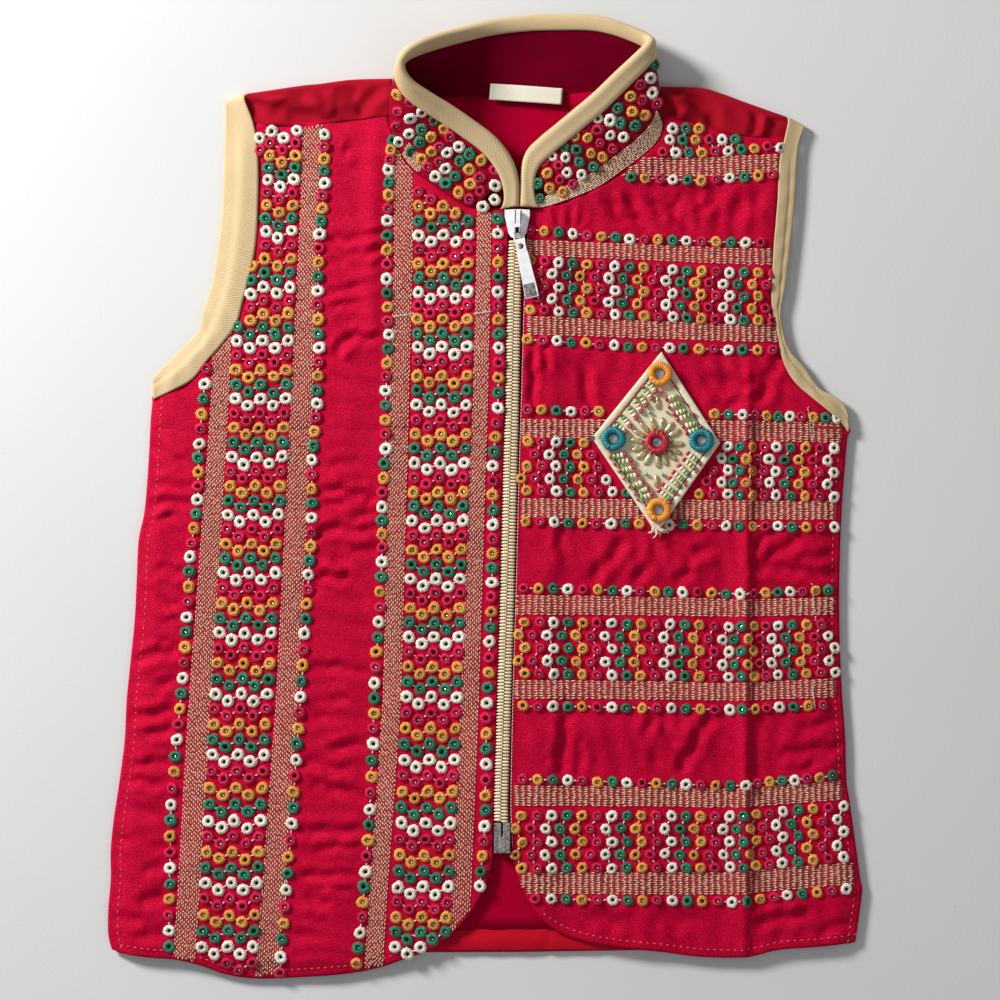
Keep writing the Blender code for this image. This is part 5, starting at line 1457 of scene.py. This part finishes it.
# Pixels of the patch's bead sticks, inner end then outer end, then of its single beads.
BEAD_STICKS = [
    (666.4, 399.2, 675.8, 396.0), (668.9, 407.1, 678.8, 403.7), (674.0, 413.9, 683.9, 410.9),
    (677.1, 419.6, 688.6, 415.4), (683.0, 426.6, 694.2, 423.6), (686.4, 433.0, 696.7, 429.2),
    (625.1, 454.3, 614.6, 456.5), (630.9, 460.4, 619.4, 461.8), (633.5, 467.4, 623.3, 470.3),
    (637.6, 474.8, 628.4, 476.4), (643.0, 482.1, 634.0, 485.7), (648.1, 488.1, 640.9, 491.4),
    (651.8, 494.2, 642.0, 497.7), (655.2, 391.9, 649.4, 383.9), (651.7, 398.6, 645.2, 390.9),
    (646.2, 405.5, 640.4, 396.3), (640.9, 411.7, 635.8, 402.0), (636.0, 418.3, 629.4, 408.4),
    (629.9, 426.1, 623.3, 418.1), (625.8, 432.1, 617.5, 425.1), (687.8, 453.4, 696.0, 460.4),
    (683.9, 459.4, 693.2, 467.4), (678.8, 465.5, 686.4, 473.6), (673.3, 472.2, 681.6, 479.2),
    (669.7, 478.0, 677.5, 485.1), (662.8, 484.4, 672.0, 490.8), (659.0, 490.4, 667.7, 497.4),
]
STICK_COLOURS = ("red", "white", "yellow", "green")
RIM_BEADS = [
    (643.0, 387.1), (634.5, 396.7), (627.7, 405.6), (620.1, 414.9), (614.3, 421.5), (673.0, 385.2),
    (683.5, 402.1), (692.8, 414.1), (700.4, 426.6), (609.9, 457.2), (614.6, 464.3), (619.2, 471.3),
    (623.9, 478.3), (629.6, 486.6), (635.0, 494.0), (637.9, 500.0), (699.8, 464.3), (696.4, 471.5),
    (684.7, 484.7), (675.8, 493.0), (670.5, 502.5), (661.5, 391.9),
]
GREEN_BEADS = [(649.2, 412.3), (666.3, 411.8), (645.6, 474.2), (662.4, 474.6)]
LONG_BEADS = [(657.4, 403.0), (656.2, 481.0)]
# The way that each petal points, in degrees.
PETAL_TURNS = [102, 76, 51, 29, -3, -25, -43, -67, -88, -119, -142, -163, 175, 153, 130]
PATCH_RINGS = [
    ("top", 69.8, 49.3, "orange"), ("bottom", 69.4, -5.0, "orange"), ("left", 51.3, 23.4, "teal"),
    ("right", 86.4, 22.7, "teal"), ("centre", *PATCH_CENTRE, "red"),
]
# The rim's section: how far in from the edge, and how high over the patch's ground or its base.
RIM_SECTION = [(0.0, -0.4), (0.12, 0.22), (0.5, 0.40), (1.3, 0.44), (2.2, 0.36), (2.6, 0.1), (2.65, -0.2)]


def shrunk(corners, by):
    """A convex outline with every side moved in, the corners given clockwise."""
    p = np.array(corners, float)
    sides = []
    for a, b in zip(p, np.roll(p, -1, axis=0)):
        run = (b - a) / np.linalg.norm(b - a)
        sides.append((a + np.array([run[1], -run[0]]) * by, run))
    out = []
    for (a, u), (b, v) in zip(sides, sides[1:] + sides[:1]):
        t = np.linalg.solve(np.array([u, -v]).T, b - a)
        out.append(tuple(a + u * t[0]))
    return out[-1:] + out[:-1]


def patch_base():
    """The height that the patch lies on: the cloth's highest point under its corners and centre."""
    return float(np.max([front_top(x, y) for x, y in PATCH + [PATCH_CENTRE]])) + GAP + 0.1


def lie_flat(z):
    """Places at one height, facing up, for stitches and beads on the patch."""
    def place(x, y, lift=0.0):
        up = np.tile((0.0, 0.0, 1.0), (len(x), 1))
        return np.stack([x, y, np.full(len(x), z + lift)], axis=-1), up
    return place


def patch_sides(inset, count):
    """The four sides of the patch's outline moved in, each as this many points."""
    corner = shrunk(PATCH, inset)
    return [spaced([corner[i], corner[(i + 1) % 4]], count) for i in range(4)]


def patch_ground(base, height):
    """The patch's canvas, its folded rim and the red line of stitches inside it."""
    side = patch_sides(1.6, 50)
    grid = coons(side[2][::-1], side[0], side[3], side[1][::-1])
    z = height + 0.06 * np.sin(grid[..., 0] * 0.7) * np.sin(grid[..., 1] * 0.6)
    made = cloth("patch_canvas", with_height(grid, z), [PATCH_CLOTH], PATCH_T)
    if made.data.polygons[0].normal.z < 0:
        made.data.flip_normals()
    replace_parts(made, "patch_ground")

    rows = []
    for inset, z in [(0.1, base)] + [(inset, height + up) for inset, up in RIM_SECTION]:
        loop = np.vstack([run[:-1] for run in patch_sides(inset, 46)])
        k = np.arange(len(loop))
        rows.append(np.column_stack([loop, z + (0.05 * np.sin(k * 1.9) + 0.04 * np.sin(k * 0.83))]))
    grid = np.array(rows)
    rim = grid_piece("patch_rim_fold", grid, grid[..., :2], [PATCH_CLOTH], True, True)
    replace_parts(rim, "patch_rim")

    runs = [run[4:-4] for run in patch_sides(2.95, 32)]
    turn = np.concatenate([np.full(len(run), math.atan2(*(run[1] - run[0])[::-1])) for run in runs])
    stitches("patch_red_line", *np.vstack(runs).T, turn, 2.4, 0.60, RED, "thread_red", 0.26, 0.04,
             lie_flat(height))


def wound_ring(name, x, y, z, colour, far=3.45, near=1.5, wraps=30):
    """A ring of wound thread round a mirror, its wraps raised one by one and a little uneven."""
    turns, sides = wraps * 4, 12
    a = 2 * np.pi * np.arange(turns)[:, None] / turns
    b = 2 * np.pi * np.arange(sides)[None] / sides
    loose = 1 + 0.07 * rng.standard_normal((wraps, 1)).repeat(4, axis=0) * (np.cos(b) > -0.2)
    thick = near * loose * (1 + 0.09 * np.cos(wraps * a + 0.9 * b))
    radius = far + 0.10 * np.sin(3 * a + x) + thick * np.cos(b)
    verts = np.stack([x + radius * np.cos(a), y + radius * np.sin(a), z + 0.78 * thick * np.sin(b)], axis=-1)
    i, j = np.arange(turns)[:, None, None], np.arange(sides)[None, :, None]
    corner = np.stack(np.broadcast_arrays((i + (0, 1, 1, 0)) / turns, (j + (0, 0, 1, 1)) / sides), axis=-1)
    mat = {"orange": ORANGE, "teal": TEAL, "red": RED}[colour]
    ring = mesh_piece("patch_thread_ring_" + name, verts.reshape(-1, 3), around_faces(turns, sides),
                      corner.reshape(-1, 2), [mat])
    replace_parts(ring, "patch_ring_" + name)


def bead_shape(turns=10, sides=6, far=0.70, near=0.42):
    """A small glass bead: a fat ring standing on its side, its hole along X."""
    a = 2 * np.pi * np.arange(turns)[:, None] / turns
    b = 2 * np.pi * np.arange(sides) / sides
    r = far + near * np.cos(b)
    verts = np.stack([1.5 * near * np.sin(b) + 0 * a, r * np.cos(a), r * np.sin(a)], axis=-1)
    faces = around_faces(turns, sides)
    return verts.reshape(-1, 3), faces, plain_uv(faces)


def petal_shape(length=6.0, width=2.3, height=1.05, stations=13, sides=10):
    """A pointed, domed petal along X, closed and flat below."""
    a = 2 * np.pi * np.arange(sides) / sides
    s = np.linspace(-0.96, 0.96, stations)[:, None]
    wide = (1 - abs(s) ** 2.8) ** 0.55
    dome = 0.1 + height * wide * np.maximum(np.sin(a), -0.25) * (1 + 0.10 * np.cos(2 * a))
    loops = np.stack([s * length / 2 + 0 * a, width / 2 * wide * np.cos(a), dome], axis=-1)
    verts, faces = capped((-length / 2, 0.0, 0.1), loops, (length / 2, 0.0, 0.1))
    return verts, faces, plain_uv(faces)


def flat_axes(turn):
    """Three directions for each turn about the vertical."""
    zero = np.zeros_like(turn)
    cos, sin = np.cos(turn), np.sin(turn)
    return [np.stack(axis, axis=-1) for axis in ((cos, sin, zero), (-sin, cos, zero), (zero, zero, zero + 1))]


def patch_petals(height):
    """The flower's ring of petals, then the two long beads above and below it."""
    cx, cy = PATCH_CENTRE
    turns = np.radians(PETAL_TURNS)
    reach = 7.7 + 0.25 * np.cos(2 * turns)
    spots = np.column_stack([cx + reach * np.cos(turns), cy + reach * np.sin(turns)])
    spots = np.vstack([spots] + [at_pixel(*spot, height) for spot in LONG_BEADS])
    turns = np.concatenate([turns, np.radians([91.0, 89.0])])
    turns = turns + rng.uniform(-0.04, 0.04, len(turns))
    side, fore, up = flat_axes(turns)
    size = np.where(np.arange(len(turns)) < len(PETAL_TURNS), 0.96, 0.88)[:, None]
    spots = np.column_stack([spots, np.full(len(turns), height + 0.15)])
    petals = copies("patch_petals", petal_shape(), spots, (side * size, fore * size, up), PETAL)
    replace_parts(petals, "patch_flower")


def patch_beads(height):
    """Sticks of four beads in four colours, then single red beads by the rim and green ones."""
    beads = {colour: [] for colour in STICK_COLOURS}
    for ax, ay, bx, by in BEAD_STICKS:
        a, b = np.array(at_pixel(ax, ay, height)), np.array(at_pixel(bx, by, height))
        turn = math.atan2(*(b - a)[::-1])
        a, b = a - (b - a) * 0.06, b + (b - a) * 0.06
        for k, colour in enumerate(STICK_COLOURS):
            beads[colour].append((*(a + (b - a) * (k + 0.15) / 3.3), turn))
    for colour, singles, spin in (("red", RIM_BEADS, 0.7), ("green", GREEN_BEADS, 1.1)):
        beads[colour] += [(*at_pixel(px, py, height), spin * k) for k, (px, py) in enumerate(singles)]
    for colour, places in beads.items():
        places = np.array(places)
        count = len(places)
        side, fore, up = flat_axes(places[:, 2] + rng.uniform(-0.15, 0.15, count))
        spot = np.column_stack([places[:, :2], np.full(count, height + 0.95)])
        tilt = rng.uniform(-0.12, 0.12, (count, 1))
        single = np.arange(count) >= len(BEAD_STICKS)
        size = rng.uniform(0.92, 1.06, (count, 1)) * np.where(single, 0.8, 1.0)[:, None]
        axes = (side * size, fore * size, (up + side * tilt) * size)
        copies("patch_beads_" + colour, bead_shape(), spot, axes, GLASS[colour])


def patch():
    """The diamond patch: canvas, rim, wound rings, petals, beads and loose threads."""
    base = patch_base()
    height = base + PATCH_T
    patch_ground(base, height)
    for name, x, y, colour in PATCH_RINGS:
        wound_ring(name, x, y, height + GAP + 1.44, colour)
    patch_petals(height)
    patch_beads(height)
    fringe(height)


def tube(path, radius, sides=6):
    """Rings of points round a path of x, y, z points."""
    run = unit(np.gradient(path, axis=0))
    side = unit(np.cross(run, (0.0, 0.0, 1.0)) + 1e-9)
    up = np.cross(side, run)
    a = (2 * np.pi * np.arange(sides) / sides)[None, :, None]
    return path[:, None] + radius[:, None, None] * (side[:, None] * np.cos(a) + up[:, None] * np.sin(a))


def threads(name, paths, radius, mat):
    """Loose threads, one tube along each path, in one mesh."""
    verts, faces, corner, count = [], [], [], 0
    for k, path in enumerate(paths):
        path = rounded(path, 5)
        grid = tube(path, np.linspace(1.0, 0.7, len(path)) * radius)
        quads = grid_faces(*grid.shape[:2], closed=True)[:, ::-1]
        verts.append(grid.reshape(-1, 3))
        faces.append(quads + count)
        count += len(verts[-1])
        across_it = np.tile((0.2, 0.4, 0.6, 0.8), len(quads))
        corner.append(np.column_stack([np.full(quads.size, k + 0.5), across_it]))
    mesh_piece(name, np.vstack(verts), np.vstack(faces), np.vstack(corner), [mat])


# A frayed thread's points: share of its length, share of its bend, height over the patch.
THREAD_STEPS = [(0.0, 0.0, 0.5), (0.4, 0.0, 0.4), (0.8, 1.0, -0.2), (1.0, 1.6, -0.7)]


def fringe(height):
    """Frayed ends at the patch's lowest corner and a tuft at its left corner."""
    x, y = PATCH[2]
    paths, coloured = [], []
    for k in range(16):
        a = -1.9 + 0.26 * (k % 8) + rng.uniform(-0.15, 0.15)
        long = rng.uniform(2.0, 4.2)
        sx, sy = x - 1.6 + 0.4 * (k % 8), y + 2.2 + rng.uniform(-0.4, 0.8)
        bend = rng.uniform(-0.5, 0.5)
        path = [(sx + part * long * math.cos(a + turn * bend), sy + part * long * math.sin(a + turn * bend),
                 height + rise) for part, turn, rise in THREAD_STEPS]
        (coloured if k % 5 == 2 else paths).append(path)
    threads("patch_fringe", paths, 0.26, CREAM_THREAD)
    threads("patch_fringe_orange", coloured, 0.24, ORANGE)
    x, y = PATCH[3]
    tuft = [[(x + 1.0, y + 0.5 * k, height + 0.4), (x - 0.2, y + 0.7 * k, height + 0.2),
             (x - 1.4, y + 1.1 * k, height - 0.6)] for k in (-1, 0, 1)]
    threads("patch_tuft_teal", tuft, 0.24, TEAL)


def metal_parts():
    """The rigid nodes keep their shapes and get worn metal and glass."""
    looks = {"zip_slider": SILVER, "zip_pull_tab": SILVER, "zip_bottom_box": PEWTER}
    looks.update({"patch_mirror_" + name: MIRROR for name, *_ in PATCH_RINGS})
    for name, mat in looks.items():
        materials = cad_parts[name].data.materials
        materials.clear()
        materials.append(mat)


def stage():
    """Floor, light and the camera straight above."""
    scene = bpy.context.scene
    camera = bpy.data.objects.new("camera", bpy.data.cameras.new("camera"))
    camera.location = (CAMERA_X * MM, CAMERA_Y * MM, (CAMERA_UP + FRONT_Z) * MM)
    camera.data.sensor_width = 36.0
    camera.data.lens = 36.0 * CAMERA_UP / FIELD
    scene.collection.objects.link(camera)
    scene.camera = camera

    mat, shader = surface("floor", 0.85)
    place = node(mat, "ShaderNodeTexCoord").outputs["Object"]
    soft = noise(mat, place, 9.0, 4.0)
    finish_material(mat, shader, mix(mat, soft, (0.60, 0.595, 0.58), (0.66, 0.655, 0.64)),
                    noise(mat, place, 900.0, 2.0), 0.05)
    mesh = bpy.data.meshes.new("floor")
    mesh.from_pydata([(-4, -4, 0), (4, -4, 0), (4, 4, 0), (-4, 4, 0)], [], [(0, 1, 2, 3)])
    mesh.materials.append(mat)
    floor = bpy.data.objects.new("floor", mesh)
    scene.collection.objects.link(floor)

    world = bpy.data.worlds.new("sky")
    world.use_nodes = True
    world.node_tree.nodes["Background"].inputs["Color"].default_value = (0.93, 0.95, 1.0, 1.0)
    world.node_tree.nodes["Background"].inputs["Strength"].default_value = 0.32
    scene.world = world
    for name, place, size, power in (("key", (-0.84, 0.64, 0.56), 0.3, 22.5),
                                     ("fill", (0.9, -0.8, 1.6), 1.2, 2.5)):
        lamp = bpy.data.lights.new(name, "AREA")
        lamp.shape = "DISK"
        lamp.size = size
        lamp.energy = power
        light = bpy.data.objects.new(name, lamp)
        light.location = place
        light.rotation_mode = "QUATERNION"
        light.rotation_quaternion = Vector(place).to_track_quat("Z", "Y")
        scene.collection.objects.link(light)
    scene.view_settings.view_transform = "Standard"
    scene.view_settings.look = "None"


# Cut sizes of the cloth in metres: width, length, flat area where it isn't a rectangle, what it lies on.
SHEETS = [
    ("cloth_front_right", (0.151, 0.353), 0.047, ["cloth_lining"]),
    ("cloth_front_left", (0.143, 0.353), 0.042, ["cloth_lining"]),
    ("cloth_back", (0.302, 0.345), 0.094, []),
    ("cloth_yoke_right", (0.056, 0.036), 0.0017, ["cloth_lining"]),
    ("cloth_yoke_left", (0.050, 0.036), 0.0014, ["cloth_lining"]),
    ("cloth_lining", (0.277, 0.335), 0.080, ["cloth_back"]),
    ("cloth_hem_turnup", (0.281, 0.0100), 0.0023, ["cloth_back"]),
    ("cloth_binding_right", (0.012, 0.300), None, ["cloth_front_right"]),
    ("cloth_binding_left", (0.010, 0.290), 0.0017, ["cloth_front_left"]),
    ("cloth_collar", (0.300, 0.022), None, ["cloth_lining"]),
    ("cloth_collar_binding", (0.310, 0.014), None, ["cloth_collar"]),
    ("cloth_label", (0.029, 0.0100), 0.00019, ["cloth_lining"]),
    ("cloth_zip_tape_right", (0.012, 0.253), None, ["cloth_lining"]),
    ("cloth_zip_tape_left", (0.012, 0.253), None, ["cloth_lining"]),
    ("patch_canvas", (0.046, 0.068), 0.0016, ["cloth_front_left"]),
    ("patch_rim_fold", (0.010, 0.174), 0.0007, ["patch_canvas"]),
]


def main():
    stage()
    fronts()
    back()
    lining()
    armhole("cloth_binding_right", ARM_OUT_R, ARM_IN_R, -1, "binding_armhole_right")
    armhole("cloth_binding_left", ARM_OUT_L, ARM_IN_L, 1, "binding_armhole_left")
    collar()
    label()
    tapes()
    metal_parts()
    zip_teeth()
    slider_shade_lines()
    seam_lines()
    patch()
    gold_strips()
    collar_gold()
    placed = front_rings()
    linking_threads(placed)
    point, up = on_front([p[0] for p in placed], [p[1] for p in placed], 0.05)
    rings([(a, b, p[2]) for a, b, p in zip(point, up, placed)] + collar_rings())
    for name, flat, area, below in SHEETS:
        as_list(below)


main()
